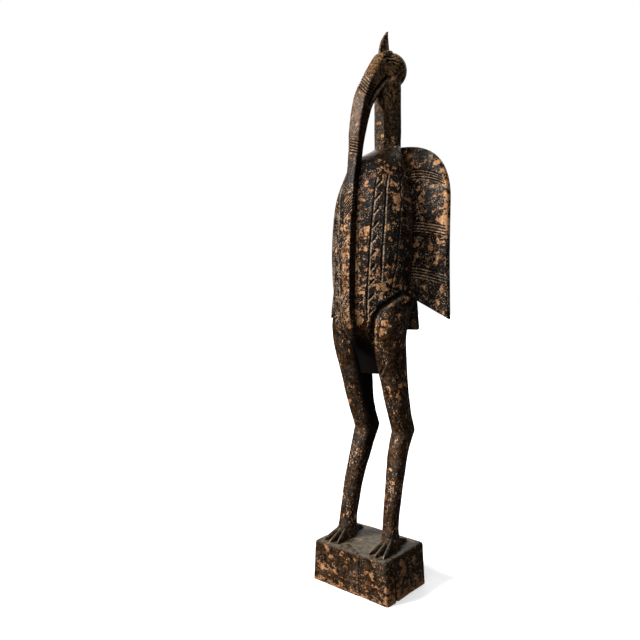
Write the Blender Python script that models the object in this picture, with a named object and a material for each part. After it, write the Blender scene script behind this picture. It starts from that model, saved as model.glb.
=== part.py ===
"""Standing bird figure, carved together with its block from one piece of wood.

Metres, +Z up. The bird faces -Y and its left side is at +X. The origin lies on the underside of
the block, in the bird's middle plane; the figure stands on that underside by its own weight.
"""
import math
from collections import namedtuple

import bmesh
import bpy
import numpy as np

# Driving dimensions
HEIGHT = 1.188
BLOCK_HEIGHT = 0.085
SHOULDER_HEIGHT = 0.938
KNEE_HEIGHT = 0.317

# One horizontal cut through a form: its height, its centre, half its width, and how far it
# reaches in front of the centre and behind it. The squareness is 2 for an ellipse, more for a
# boxy cut and less for one with ridges in front and behind.
Cut = namedtuple("Cut", "z x y half_width front back squareness")

# One cut across a bent form such as the beak or a toe: the middle of its upper face, half its
# width there, half its width at the underside, and its thickness.
Slice = namedtuple("Slice", "x y z half_width half_under thickness")

# Block
BLOCK_WIDTH_BELOW = 0.194
BLOCK_WIDTH_ABOVE = 0.182
BLOCK_DEPTH_BELOW = 0.140
BLOCK_DEPTH_ABOVE = 0.143
BLOCK_OFFSET = -0.003
BLOCK_EDGE = 0.006
BLOCK_EDGE_STEPS = 3

# Body, from the shoulders down to the underside between the thighs
BODY = (
    Cut(z=SHOULDER_HEIGHT, x=0, y=0.070, half_width=0.020, front=0.010, back=0.020, squareness=2.0),
    Cut(z=0.932, x=0, y=0.065, half_width=0.030, front=0.019, back=0.028, squareness=2.0),
    Cut(z=0.921, x=0, y=0.056, half_width=0.036, front=0.029, back=0.037, squareness=2.0),
    Cut(z=0.908, x=0, y=0.045, half_width=0.0435, front=0.044, back=0.046, squareness=2.0),
    Cut(z=0.894, x=0, y=0.036, half_width=0.051, front=0.059, back=0.053, squareness=2.0),
    Cut(z=0.876, x=0, y=0.028, half_width=0.058, front=0.070, back=0.058, squareness=2.0),
    Cut(z=0.850, x=0, y=0.020, half_width=0.068, front=0.072, back=0.063, squareness=2.0),
    Cut(z=0.815, x=0, y=0.013, half_width=0.0825, front=0.070, back=0.068, squareness=2.0),
    Cut(z=0.770, x=0, y=0.008, half_width=0.0900, front=0.069, back=0.074, squareness=2.0),
    Cut(z=0.700, x=0, y=0.004, half_width=0.0922, front=0.068, back=0.074, squareness=2.0),
    Cut(z=0.640, x=0, y=0.002, half_width=0.0878, front=0.068, back=0.072, squareness=2.0),
    Cut(z=0.590, x=0, y=0.004, half_width=0.0800, front=0.070, back=0.074, squareness=2.0),
    Cut(z=0.550, x=0, y=0.006, half_width=0.0675, front=0.068, back=0.070, squareness=2.0),
    Cut(z=0.515, x=0, y=0.010, half_width=0.054, front=0.056, back=0.062, squareness=2.0),
    Cut(z=0.485, x=0, y=0.014, half_width=0.044, front=0.038, back=0.048, squareness=2.2),
    Cut(z=0.441, x=0, y=0.018, half_width=0.037, front=0.026, back=0.030, squareness=2.4),
)
BODY_ROWS = 36
BODY_SIDES = 34

# Neck
NECK_Y = 0.066
NECK_HALF_WIDTH = 0.0265
NECK_HALF_DEPTH = 0.0298
NECK_FOOT = 0.908
NECK_TOP = 1.105
NECK_SIDES = 8

# Head and crest
HEAD_Y = 0.0787
HEAD_Z = 1.1070
HEAD_RADIUS = 0.0380
HEAD_HALF_WIDTH = 0.0345
HEAD_SIDES = 18
HEAD_ROWS = 10
CREST_HALF_THICKNESS = 0.0065
CREST_FOOT = 1.132
CREST_FOOT_FRONT = 0.034
CREST_FOOT_BACK = 0.073
CREST_TIP_Y = 0.0635
CREST_TIP_REACH = 0.0018
CREST_TIP_SHARE = 0.5
CREST_FRONT_CURVE = 2.2
CREST_BACK_CURVE = 0.9
CREST_SQUARENESS = 2.6
CREST_ROWS = 8
CREST_SIDES = 12

# Beak, from the forehead over its arch and down the keel to the tip on the belly
BEAK = (
    Slice(x=0, y=0.062, z=1.144, half_width=0.016, half_under=0.016, thickness=0.060),
    Slice(x=0, y=0.038, z=1.134, half_width=0.0170, half_under=0.016, thickness=0.062),
    Slice(x=0, y=0.011, z=1.100, half_width=0.0178, half_under=0.015, thickness=0.053),
    Slice(x=0, y=-0.0210, z=1.052, half_width=0.0180, half_under=0.014, thickness=0.042),
    Slice(x=0, y=-0.0408, z=1.010, half_width=0.0176, half_under=0.0130, thickness=0.035),
    Slice(x=0, y=-0.0562, z=0.944, half_width=0.0152, half_under=0.0125, thickness=0.027),
    Slice(x=0, y=-0.0622, z=0.885, half_width=0.0124, half_under=0.0110, thickness=0.021),
    Slice(x=0, y=-0.0730, z=0.817, half_width=0.0110, half_under=0.0105, thickness=0.020),
    Slice(x=0, y=-0.0795, z=0.745, half_width=0.0106, half_under=0.0100, thickness=0.021),
    Slice(x=0, y=-0.0835, z=0.665, half_width=0.0104, half_under=0.0100, thickness=0.021),
    Slice(x=0, y=-0.0835, z=0.600, half_width=0.0100, half_under=0.0095, thickness=0.021),
    Slice(x=0, y=-0.0800, z=0.560, half_width=0.0090, half_under=0.0090, thickness=0.021),
    Slice(x=0, y=-0.0670, z=0.525, half_width=0.0070, half_under=0.0070, thickness=0.022),
    Slice(x=0, y=-0.0400, z=0.496, half_width=0.0035, half_under=0.0040, thickness=0.016),
)
BEAK_BEVEL_SHARE = 0.18
BEAK_ROWS = 38

# Wings: a slab on each side of the back, its outline given for the left one
WING_SPAN = 0.1440
WING_SHOULDER = 0.937
WING_CORNER = 0.790
WING_ROUNDNESS = 2.5
WING_TIP_X = 0.1557
WING_TIP_Z = 0.556
WING_HOLLOW = 0.0015
WING_INNER_X = 0.020
WING_INNER_Z = 0.626
WING_FRONT_Y = 0.050
WING_SWEEP = 0.010
WING_LEAN = 0.092
WING_THICKNESS_ROOT = 0.026
WING_THICKNESS_EDGE = 0.017
WING_EDGE = 0.003
WING_EDGE_STEPS = 2
WING_SIDE_POINTS = 7
WING_ARC_POINTS = 14

# Bands of cut lines across the wings
BAND_START_X = (0.054, 0.058, 0.062)
BAND_STARTS = (0.8780, 0.7650, 0.6670)
BAND_FALLS = (0.0235, 0.0190, 0.0210)
BAND_CURVES = (2.0, 1.55, 1.45)
BAND_OVERRUN = 0.004
BAND_LINES = 4
BAND_PITCH = 0.0062
BAND_LINE_WIDTH = 0.0034
BAND_LINE_DEPTH = 0.0020
BAND_STEPS = 2

# Lines down the flanks, given as (height, distance from the middle)
INNER_LINE = ((0.842, 0.0440), (0.796, 0.0450), (0.735, 0.0425), (0.655, 0.0390), (0.555, 0.0330))
OUTER_LINE = ((0.850, 0.0580), (0.806, 0.0640), (0.755, 0.0655), (0.695, 0.0635), (0.635, 0.0610))
SIDE_LINE = ((0.900, 0.0465), (0.862, 0.0635), (0.827, 0.0762), (0.795, 0.0833), (0.750, 0.0858),
             (0.690, 0.0846), (0.610, 0.0724))
FLANK_LINE_WIDTH = 0.0042
FLANK_LINE_DEPTH = 0.0022

# Chevrons between the two inner lines of each flank
CHEVRON_TOP = 0.826
CHEVRON_BOTTOM = 0.566
CHEVRON_COUNT = 10
CHEVRON_RISE = 0.012
CHEVRON_WIDTH = 0.0044
CHEVRON_DEPTH = 0.0024
CHEVRON_GAP = 0.0022
FLANK_LIMIT = 0.999
FLANK_STEP = 0.002
LINE_LIFT_SHARE = 0.5

# Tail, a plate below the back
TAIL_TOP_Z = 0.640
TAIL_BOTTOM_Z = 0.532
TAIL_HALF_TOP = 0.063
TAIL_HALF_BOTTOM = 0.0720
TAIL_FRONT_Y = 0.050
TAIL_FRONT_Y_BELOW = 0.068
TAIL_BACK_Y = 0.086
TAIL_EDGE = 0.004
TAIL_EDGE_STEPS = 2

# Legs, given for the left one
LEG = (
    Cut(z=0.632, x=0.056, y=0.042, half_width=0.020, front=0.020, back=0.024, squareness=2.2),
    Cut(z=0.605, x=0.069, y=0.032, half_width=0.0165, front=0.047, back=0.030, squareness=2.2),
    Cut(z=0.575, x=0.0595, y=0.014, half_width=0.0265, front=0.050, back=0.034, squareness=2.2),
    Cut(z=0.545, x=0.0525, y=0.000, half_width=0.0325, front=0.043, back=0.040, squareness=2.2),
    Cut(z=0.515, x=0.0508, y=-0.003, half_width=0.0325, front=0.0345, back=0.038, squareness=2.2),
    Cut(z=0.475, x=0.049, y=0.006, half_width=0.0305, front=0.0308, back=0.0335, squareness=2.3),
    Cut(z=0.437, x=0.048, y=0.0165, half_width=0.0280, front=0.0282, back=0.0290, squareness=2.4),
    Cut(z=0.395, x=0.0485, y=0.027, half_width=0.0253, front=0.0262, back=0.0255, squareness=2.5),
    Cut(z=0.355, x=0.0485, y=0.040, half_width=0.0228, front=0.0252, back=0.0243, squareness=2.6),
    Cut(z=0.331, x=0.048, y=0.048, half_width=0.0213, front=0.0242, back=0.0285, squareness=2.6),
    Cut(z=KNEE_HEIGHT, x=0.048, y=0.0500, half_width=0.0205, front=0.0225, back=0.0338,
        squareness=2.4),
    Cut(z=0.306, x=0.0477, y=0.0467, half_width=0.0203, front=0.0218, back=0.0300, squareness=2.5),
    Cut(z=0.270, x=0.0480, y=0.0332, half_width=0.0192, front=0.0202, back=0.0220, squareness=2.6),
    Cut(z=0.205, x=0.0521, y=0.0128, half_width=0.0171, front=0.0176, back=0.0178, squareness=2.6),
    Cut(z=0.160, x=0.0536, y=0.0023, half_width=0.0159, front=0.0166, back=0.0163, squareness=2.6),
    Cut(z=0.125, x=0.0552, y=-0.0042, half_width=0.0152, front=0.017, back=0.0168, squareness=2.6),
    Cut(z=0.100, x=0.0565, y=-0.005, half_width=0.0165, front=0.022, back=0.020, squareness=2.5),
    Cut(z=0.080, x=0.0575, y=-0.006, half_width=0.0180, front=0.026, back=0.024, squareness=2.5),
)
LEG_ROWS = 34
LEG_SIDES = 14

# How much fuller each leg is than those cuts, below the knee, at the middle of the thigh and at
# the haunch
THIGH_MIDDLE = 0.475
HAUNCH_HEIGHT = 0.575
LEFT_FULLNESS = (1.0, 1.0, 1.0)
RIGHT_FULLNESS = (1.11, 1.16, 1.0)

# Toes: three in front and one behind on each foot
TOE_ROOT_X = 0.058
TOE_ROOT_Y = -0.008
TOE_ROOT_SPREAD = 0.006
TOE_TIP_SPREAD = 0.0175
TOE_TIP_Y = -0.064
TOE_SHORTER = 0.004
TOE_HALF_WIDTH = 0.0062
TOE_TIP_HEIGHT = 0.010
TOE_RISE = 0.020
TOE_FALL = 1.4
TOE_SINK = 0.004
TOE_BLUNTNESS = 0.9
TOE_ARCH = 0.8
TOE_ROWS = 7
TOE_ARC_POINTS = 7
HEEL_ROOT_Y = 0.002
HEEL_TIP_Y = 0.052
HEEL_RISE = 0.012

# Lines cut into the sides of the head, given for its left as (x, y, z): the mouth and two above
# one another round the eye
MOUTH_LINE = ((0.0178, 0.0450, 1.0790), (0.0172, 0.0350, 1.0735), (0.0166, 0.0219, 1.0596),
              (0.0160, 0.0036, 1.0416), (0.0158, -0.0102, 1.0231), (0.0156, -0.0230, 1.0010))
BROW_LINE = ((0.0174, 0.0268, 1.1141), (0.0176, 0.0425, 1.1227), (0.0225, 0.0570, 1.1235))
EYE_LINE = ((0.0173, 0.0348, 1.1082), (0.0205, 0.0490, 1.1155), (0.0290, 0.0620, 1.1115))
FACE_LINE_WIDTH = 0.0046
FACE_LINE_DEPTH = 0.0030
MOUTH_WIDTH = 0.0072
MOUTH_DEPTH = 0.0046
FACE_LINES = (
    (MOUTH_LINE, MOUTH_WIDTH, MOUTH_DEPTH),
    (BROW_LINE, FACE_LINE_WIDTH, FACE_LINE_DEPTH),
    (EYE_LINE, FACE_LINE_WIDTH, FACE_LINE_DEPTH),
)

WOOD_COLOUR = (0.055, 0.036, 0.024, 1.0)
WOOD_ROUGHNESS = 0.62


def clear_scene():
    """Removes whatever the file holds before the model is made."""
    for item in list(bpy.data.objects):
        bpy.data.objects.remove(item, do_unlink=True)


def add_collection(name):
    """Returns a new collection linked to the scene."""
    collection = bpy.data.collections.new(name)
    bpy.context.scene.collection.children.link(collection)
    return collection


def mesh_object(name, bm):
    """Turns a bmesh into a named object and frees it."""
    mesh = bpy.data.meshes.new(name)
    bm.to_mesh(mesh)
    bm.free()
    return bpy.data.objects.new(name, mesh)


def smooth_rows(rows, count):
    """Rows at equal steps along the smooth curve through the given rows."""
    rows = np.array(rows, dtype=float)
    last = len(rows) - 1
    place = np.linspace(0, last, count)
    first = np.minimum(place.astype(int), last - 1)
    t = (place - first)[:, None]
    before = rows[np.maximum(first - 1, 0)]
    start = rows[first]
    end = rows[first + 1]
    after = rows[np.minimum(first + 2, last)]
    leave = (end - before) / 2
    arrive = (after - start) / 2
    return ((2 * t**3 - 3 * t**2 + 1) * start + (t**3 - 2 * t**2 + t) * leave
            + (3 * t**2 - 2 * t**3) * end + (t**3 - t**2) * arrive)


def cut_ring(cut, sides):
    """Points round a horizontal cut, counter-clockwise as seen from above."""
    turn = np.linspace(0, 2 * math.pi, sides, endpoint=False) + math.pi / sides
    power = 2 / cut.squareness
    across = np.sign(np.cos(turn)) * np.abs(np.cos(turn)) ** power
    along = np.sign(np.sin(turn)) * np.abs(np.sin(turn)) ** power
    reach = np.where(along < 0, cut.front, cut.back)
    x = cut.x + cut.half_width * across
    y = cut.y + reach * along
    return np.stack([x, y, np.full(sides, cut.z)], axis=1)


def loft(name, rings):
    """A closed mesh object through rings of equal length, with a flat cap on each end."""
    bm = bmesh.new()
    layers = [[bm.verts.new(point) for point in ring] for ring in rings]
    for lower, upper in zip(layers, layers[1:]):
        count = len(lower)
        for i in range(count):
            j = (i + 1) % count
            bm.faces.new((lower[i], lower[j], upper[j], upper[i]))
    bm.faces.new(layers[0])
    bm.faces.new(layers[-1])
    bmesh.ops.recalc_face_normals(bm, faces=bm.faces)
    return mesh_object(name, bm)


def upright_form(name, cuts, rows, sides):
    """A form lofted through horizontal cuts, with smooth rows between them."""
    rings = [cut_ring(Cut(*row), sides) for row in smooth_rows(cuts, rows)]
    return loft(name, rings)


def mirrored(source, name):
    """A copy of an object on the other side of the plane between left and right."""
    bm = bmesh.new()
    bm.from_mesh(source.data)
    for vert in bm.verts:
        vert.co.x = -vert.co.x
    bmesh.ops.reverse_faces(bm, faces=bm.faces)
    return mesh_object(name, bm)


def make_block():
    """The block: a box a little wider below than above, with its edges rounded."""
    bm = bmesh.new()
    bmesh.ops.create_cube(bm, size=1)
    for vert in bm.verts:
        above = vert.co.z > 0
        vert.co.x *= BLOCK_WIDTH_ABOVE if above else BLOCK_WIDTH_BELOW
        vert.co.x += BLOCK_OFFSET
        vert.co.y *= BLOCK_DEPTH_ABOVE if above else BLOCK_DEPTH_BELOW
        vert.co.z = BLOCK_HEIGHT if above else 0.0
    rounded = [edge for edge in bm.edges if max(v.co.z for v in edge.verts) > BLOCK_HEIGHT / 2]
    bmesh.ops.bevel(bm, geom=rounded, offset=BLOCK_EDGE, segments=BLOCK_EDGE_STEPS, profile=0.5,
                    affect="EDGES")
    return mesh_object("block", bm)


def make_body():
    """The almond-shaped body with its keel in front."""
    return upright_form("body", BODY, BODY_ROWS, BODY_SIDES)


def make_neck():
    """The eight-sided neck."""
    bm = bmesh.new()
    bmesh.ops.create_cone(bm, cap_ends=True, segments=NECK_SIDES, radius1=1, radius2=1,
                          depth=NECK_TOP - NECK_FOOT)
    turn = math.pi / NECK_SIDES
    for vert in bm.verts:
        x = vert.co.x * math.cos(turn) - vert.co.y * math.sin(turn)
        y = vert.co.x * math.sin(turn) + vert.co.y * math.cos(turn)
        vert.co.x = x * NECK_HALF_WIDTH / math.cos(turn)
        vert.co.y = NECK_Y + y * NECK_HALF_DEPTH / math.cos(turn)
        vert.co.z += (NECK_TOP + NECK_FOOT) / 2
    return mesh_object("neck", bm)


def make_head():
    """The ball of the head, a little narrower than it is long."""
    bm = bmesh.new()
    bmesh.ops.create_uvsphere(bm, u_segments=HEAD_SIDES, v_segments=HEAD_ROWS,
                              radius=HEAD_RADIUS)
    for vert in bm.verts:
        vert.co.x *= HEAD_HALF_WIDTH / HEAD_RADIUS
        vert.co.y += HEAD_Y
        vert.co.z += HEAD_Z
    return mesh_object("head", bm)


def make_crest():
    """The upright blade on the head, its front edge curving back to the tip."""
    rings = []
    for share in np.linspace(0, 1, CREST_ROWS):
        front = CREST_FOOT_FRONT + (CREST_TIP_Y - CREST_FOOT_FRONT) * share**CREST_FRONT_CURVE
        back = CREST_FOOT_BACK + (CREST_TIP_Y - CREST_FOOT_BACK) * share**CREST_BACK_CURVE
        reach = max((back - front) / 2, CREST_TIP_REACH)
        half = CREST_HALF_THICKNESS * (1 - (1 - CREST_TIP_SHARE) * share)
        z = CREST_FOOT + (HEIGHT - CREST_FOOT) * share
        cut = Cut(z, 0, (front + back) / 2, half, reach, reach, CREST_SQUARENESS)
        rings.append(cut_ring(cut, CREST_SIDES))
    return loft("crest", rings)


def slice_ring(piece, direction, side):
    """Points round a slice: a flat upper face, bevelled edges, sides and an underside."""
    centre = np.array([piece.x, piece.y, piece.z])
    up = np.cross(direction, side)
    bevel = BEAK_BEVEL_SHARE * piece.half_width
    middle = (piece.half_width + piece.half_under) / 2
    layout = (
        (-(piece.half_width - bevel), 0.0),
        (-piece.half_width, -bevel),
        (-middle, -piece.thickness / 2),
        (-piece.half_under, -(piece.thickness - bevel)),
        (-(piece.half_under - bevel), -piece.thickness),
        (piece.half_under - bevel, -piece.thickness),
        (piece.half_under, -(piece.thickness - bevel)),
        (middle, -piece.thickness / 2),
        (piece.half_width, -bevel),
        (piece.half_width - bevel, 0.0),
    )
    return [centre + side * across + up * rise for across, rise in layout]


def bent_form(name, slices, rows):
    """A form lofted through slices that stand square to the path they follow."""
    data = smooth_rows(slices, rows)
    path = data[:, :3]
    steps = np.gradient(path, axis=0)
    directions = steps / np.linalg.norm(steps, axis=1)[:, None]
    side = np.array([1.0, 0.0, 0.0])
    rings = [slice_ring(Slice(*row), way, side) for row, way in zip(data, directions)]
    return loft(name, rings)


def make_beak():
    """The long curved beak."""
    return bent_form("beak", BEAK, BEAK_ROWS)


def wing_edge(z):
    """Distance from the middle to the wing's straight outer edge, slightly hollow, at a height."""
    share = (z - WING_TIP_Z) / (WING_CORNER - WING_TIP_Z)
    hollow = WING_HOLLOW * math.sin(math.pi * share)
    return WING_TIP_X + (WING_SPAN - WING_TIP_X) * share - hollow


def wing_outline():
    """The left wing's outline in the plane of the slab, as (x, z) points."""
    points = [(WING_INNER_X, WING_INNER_Z)]
    points += [(wing_edge(z), z) for z in np.linspace(WING_TIP_Z, WING_CORNER, WING_SIDE_POINTS)]
    for turn in np.linspace(0, math.pi / 2, WING_ARC_POINTS)[1:]:
        x = WING_SPAN * math.cos(turn) ** (2 / WING_ROUNDNESS)
        rise = math.sin(turn) ** (2 / WING_ROUNDNESS)
        if x > WING_INNER_X:
            points.append((x, WING_CORNER + (WING_SHOULDER - WING_CORNER) * rise))
    points.append((WING_INNER_X, WING_SHOULDER))
    return points


def wing_front(x, z):
    """How far back the front face of the wing lies: it sweeps back outward and leans back."""
    return WING_FRONT_Y + WING_SWEEP * x + WING_LEAN * (z - WING_TIP_Z)


def wing_thickness(x):
    """Thickness of the wing at a distance from the middle."""
    share = (x - WING_INNER_X) / (WING_TIP_X - WING_INNER_X)
    return WING_THICKNESS_ROOT + (WING_THICKNESS_EDGE - WING_THICKNESS_ROOT) * share


def make_wing():
    """The left wing: its outline made thick, with the rim rounded."""
    bm = bmesh.new()
    outline = wing_outline()
    front = [bm.verts.new((x, wing_front(x, z), z)) for x, z in outline]
    back = [bm.verts.new((x, wing_front(x, z) + wing_thickness(x), z)) for x, z in outline]
    bm.faces.new(front)
    bm.faces.new(list(reversed(back)))
    count = len(outline)
    for i in range(count):
        j = (i + 1) % count
        bm.faces.new((front[j], front[i], back[i], back[j]))
    bmesh.ops.recalc_face_normals(bm, faces=bm.faces)
    rims = [edge for edge in bm.edges
            if (edge.verts[0] in front) == (edge.verts[1] in front)
            and max(vert.co.x for vert in edge.verts) > WING_INNER_X + WING_EDGE]
    bmesh.ops.bevel(bm, geom=rims, offset=WING_EDGE, segments=WING_EDGE_STEPS, profile=0.5,
                    affect="EDGES")
    return mesh_object("left_wing", bm)


def make_tail():
    """The tail plate, wider below, with a chisel edge along the bottom."""
    bm = bmesh.new()
    bmesh.ops.create_cube(bm, size=1)
    for vert in bm.verts:
        above = vert.co.z > 0
        vert.co.x = math.copysign(TAIL_HALF_TOP if above else TAIL_HALF_BOTTOM, vert.co.x)
        behind = vert.co.y > 0
        front = TAIL_FRONT_Y if above else TAIL_FRONT_Y_BELOW
        vert.co.y = TAIL_BACK_Y if behind else front
        vert.co.z = TAIL_TOP_Z if above else TAIL_BOTTOM_Z
    bmesh.ops.bevel(bm, geom=bm.edges[:], offset=TAIL_EDGE, segments=TAIL_EDGE_STEPS, profile=0.5,
                    affect="EDGES")
    return mesh_object("tail", bm)


def make_leg(name, side, fullness):
    """A leg, from inside the flank past the knee to the top of the block."""
    cuts = []
    for cut in LEG:
        grown = float(np.interp(cut.z, (KNEE_HEIGHT, THIGH_MIDDLE, HAUNCH_HEIGHT), fullness))
        cuts.append(cut._replace(x=side * cut.x, half_width=cut.half_width * grown,
                                 front=cut.front * grown, back=cut.back * grown))
    return upright_form(name, cuts, LEG_ROWS, LEG_SIDES)


def make_toe(name, root, tip, rise):
    """A toe: a rounded ridge from the ankle down to its tip on the block."""
    root = np.array(root)
    tip = np.array(tip)
    way = tip - root
    side = np.array([-way[1], way[0], 0.0]) / np.linalg.norm(way)
    foot = BLOCK_HEIGHT - TOE_SINK
    rings = []
    for share in np.linspace(0, 1, TOE_ROWS):
        blunt = math.sqrt(1 - TOE_BLUNTNESS * share**4)
        crown = TOE_SINK + TOE_TIP_HEIGHT * blunt + rise * (1 - share) ** TOE_FALL
        middle = root + way * share + np.array([0.0, 0.0, foot])
        ring = []
        for turn in np.linspace(0, math.pi, TOE_ARC_POINTS):
            across = TOE_HALF_WIDTH * blunt * math.cos(turn)
            lift = crown * abs(math.sin(turn)) ** TOE_ARCH
            ring.append(middle + side * across + np.array([0.0, 0.0, lift]))
        rings.append(ring)
    return loft(name, rings)


def make_toes():
    """The left foot's toes: three in front and one behind."""
    toes = []
    for number in (-1, 0, 1):
        root = (TOE_ROOT_X + number * TOE_ROOT_SPREAD, TOE_ROOT_Y, 0.0)
        tip = (TOE_ROOT_X + number * TOE_TIP_SPREAD, TOE_TIP_Y + abs(number) * TOE_SHORTER, 0.0)
        toes.append(make_toe(f"left_toe_{number + 2}", root, tip, TOE_RISE))
    heel_root = (TOE_ROOT_X, HEEL_ROOT_Y, 0.0)
    heel_tip = (TOE_ROOT_X, HEEL_TIP_Y, 0.0)
    toes.append(make_toe("left_heel_toe", heel_root, heel_tip, HEEL_RISE))
    return toes


def body_at(z):
    """The cut through the body at a height, read between the given ones."""
    rows = np.array(BODY, dtype=float)[::-1]
    return Cut(*[np.interp(z, rows[:, 0], rows[:, i]) for i in range(rows.shape[1])])


def flank_point(x, z):
    """The point of the body's front half at a distance from the middle and a height."""
    cut = body_at(z)
    power = cut.squareness
    across = min(abs(x) / cut.half_width, FLANK_LIMIT)
    reach = (1 - across**power) ** (1 / power)
    return np.array([x, cut.y - cut.front * reach, z])


def flank_normal(x, z):
    """The outward direction of the body's front half at a point of it."""
    along_x = flank_point(x + FLANK_STEP, z) - flank_point(x - FLANK_STEP, z)
    along_z = flank_point(x, z + FLANK_STEP) - flank_point(x, z - FLANK_STEP)
    normal = np.cross(along_x, along_z)
    return normal / np.linalg.norm(normal)


def wing_point(x, z):
    """The point of the wing's front face at a distance from the middle and a height."""
    return np.array([x, wing_front(abs(x), z), z])


def wing_normal(x, z):
    """The outward direction of the wing's front face."""
    normal = np.array([math.copysign(WING_SWEEP, x), -1.0, WING_LEAN])
    return normal / np.linalg.norm(normal)


def groove(bm, points, normals, width, depth):
    """Adds the cutter of one V-shaped line: a closed three-sided bar along the points."""
    points = np.array(points)
    normals = np.array(normals)
    ways = np.gradient(points, axis=0)
    sides = np.cross(ways, normals)
    sides /= np.linalg.norm(sides, axis=1)[:, None]
    lift = LINE_LIFT_SHARE * depth
    spread = width / 2 * (1 + LINE_LIFT_SHARE)
    rings = []
    for point, normal, side in zip(points, normals, sides):
        over = point + normal * lift
        rings.append([bm.verts.new(over + side * spread), bm.verts.new(over - side * spread),
                      bm.verts.new(point - normal * depth)])
    faces = [bm.faces.new(rings[0]), bm.faces.new(list(reversed(rings[-1])))]
    for first, second in zip(rings, rings[1:]):
        for i in range(3):
            j = (i + 1) % 3
            faces.append(bm.faces.new((first[j], first[i], second[i], second[j])))
    bmesh.ops.recalc_face_normals(bm, faces=faces)


def line_x(line, z):
    """How far from the middle a flank line runs at a height."""
    heights = [height for height, distance in reversed(line)]
    distances = [distance for height, distance in reversed(line)]
    return float(np.interp(z, heights, distances))


def flank_groove(bm, spots, width, depth):
    """Adds the cutter of a line that runs over a flank through (x, z) spots."""
    groove(bm, [flank_point(x, z) for x, z in spots], [flank_normal(x, z) for x, z in spots],
           width, depth)


def make_line_cutter(name, side):
    """The three long lines down one flank."""
    bm = bmesh.new()
    for line in (INNER_LINE, OUTER_LINE, SIDE_LINE):
        spots = [(side * distance, height) for height, distance in line]
        flank_groove(bm, spots, FLANK_LINE_WIDTH, FLANK_LINE_DEPTH)
    return mesh_object(name, bm)


def make_chevron_cutter(name, side):
    """The row of chevrons between the two inner lines of one flank."""
    bm = bmesh.new()
    for foot in np.linspace(CHEVRON_TOP, CHEVRON_BOTTOM, CHEVRON_COUNT):
        inner = line_x(INNER_LINE, foot) + CHEVRON_GAP
        outer = line_x(OUTER_LINE, foot) - CHEVRON_GAP
        peak = (inner + outer) / 2
        spots = [(side * inner, foot), (side * peak, foot + CHEVRON_RISE), (side * outer, foot)]
        flank_groove(bm, spots, CHEVRON_WIDTH, CHEVRON_DEPTH)
    return mesh_object(name, bm)


def make_wing_cutter(name, side):
    """The three bands of parallel lines cut across one wing."""
    bm = bmesh.new()
    for inner, start, fall, curve in zip(BAND_START_X, BAND_STARTS, BAND_FALLS, BAND_CURVES):
        for number in range(BAND_LINES):
            top = start - number * BAND_PITCH
            outer = wing_edge(min(top, WING_CORNER)) + BAND_OVERRUN
            shares = np.linspace(0, 1, BAND_STEPS + 1)
            spots = [(side * (inner + (outer - inner) * share), top - fall * share**curve)
                     for share in shares]
            groove(bm, [wing_point(x, z) for x, z in spots], [wing_normal(x, z) for x, z in spots],
                   BAND_LINE_WIDTH, BAND_LINE_DEPTH)
    return mesh_object(name, bm)


def make_face_cutter(name, side):
    """The mouth line and the two lines round the eye, on one side of the head."""
    bm = bmesh.new()
    outward = (side, 0.0, 0.0)
    for line, width, depth in FACE_LINES:
        points = [(side * x, y, z) for x, y, z in line]
        groove(bm, points, [outward] * len(points), width, depth)
    return mesh_object(name, bm)


def join_into(target, others, operation, cutters):
    """Joins the others to the target, or cuts them away from it, by Boolean modifiers."""
    for other in others:
        cutters.objects.link(other)
        other.hide_render = True
        other.display_type = "WIRE"
        modifier = target.modifiers.new(other.name, "BOOLEAN")
        modifier.operation = operation
        modifier.object = other


def wood_material():
    """Dark painted wood."""
    material = bpy.data.materials.new("painted_wood")
    material.use_nodes = True
    shader = material.node_tree.nodes["Principled BSDF"]
    shader.inputs["Base Color"].default_value = WOOD_COLOUR
    shader.inputs["Roughness"].default_value = WOOD_ROUGHNESS
    shader.inputs["Metallic"].default_value = 0.0
    return material


def make_figure():
    """Makes all the forms and joins them into the one carved piece."""
    clear_scene()
    kept = add_collection("bird_figure")
    cutters = add_collection("joined_forms")
    figure = make_block()
    figure.name = "hornbill_figure"
    figure.data.name = "hornbill_figure"
    kept.objects.link(figure)
    left_side = [make_wing()] + make_toes()
    right_side = [mirrored(item, item.name.replace("left", "right")) for item in left_side]
    left_side.append(make_leg("left_leg", 1, LEFT_FULLNESS))
    right_side.append(make_leg("right_leg", -1, RIGHT_FULLNESS))
    middle = [make_body(), make_neck(), make_head(), make_crest(), make_beak(), make_tail()]
    join_into(figure, left_side + right_side + middle, "UNION", cutters)
    lines = []
    for side_name, side in (("left", 1), ("right", -1)):
        lines.append(make_line_cutter(side_name + "_flank_lines", side))
        lines.append(make_chevron_cutter(side_name + "_chevrons", side))
        lines.append(make_wing_cutter(side_name + "_wing_lines", side))
        lines.append(make_face_cutter(side_name + "_face_lines", side))
    join_into(figure, lines, "DIFFERENCE", cutters)
    figure.data.materials.append(wood_material())
    return figure


make_figure()
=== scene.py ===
"""Standing bird carved with its block from one log, its dark paint worn and flaked to the wood.

Metres, +Z up. The bird faces -Y and its left side is at +X; the block stands on z = 0. Every form
is a grid of points worked out from a few cuts and a formula. The forms are joined into one closed
piece, and the wear of the paint is then worked out over that piece, with painted shade in its
hollows and painted highlights beside its cut lines.
"""
import math
from collections import namedtuple

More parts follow.
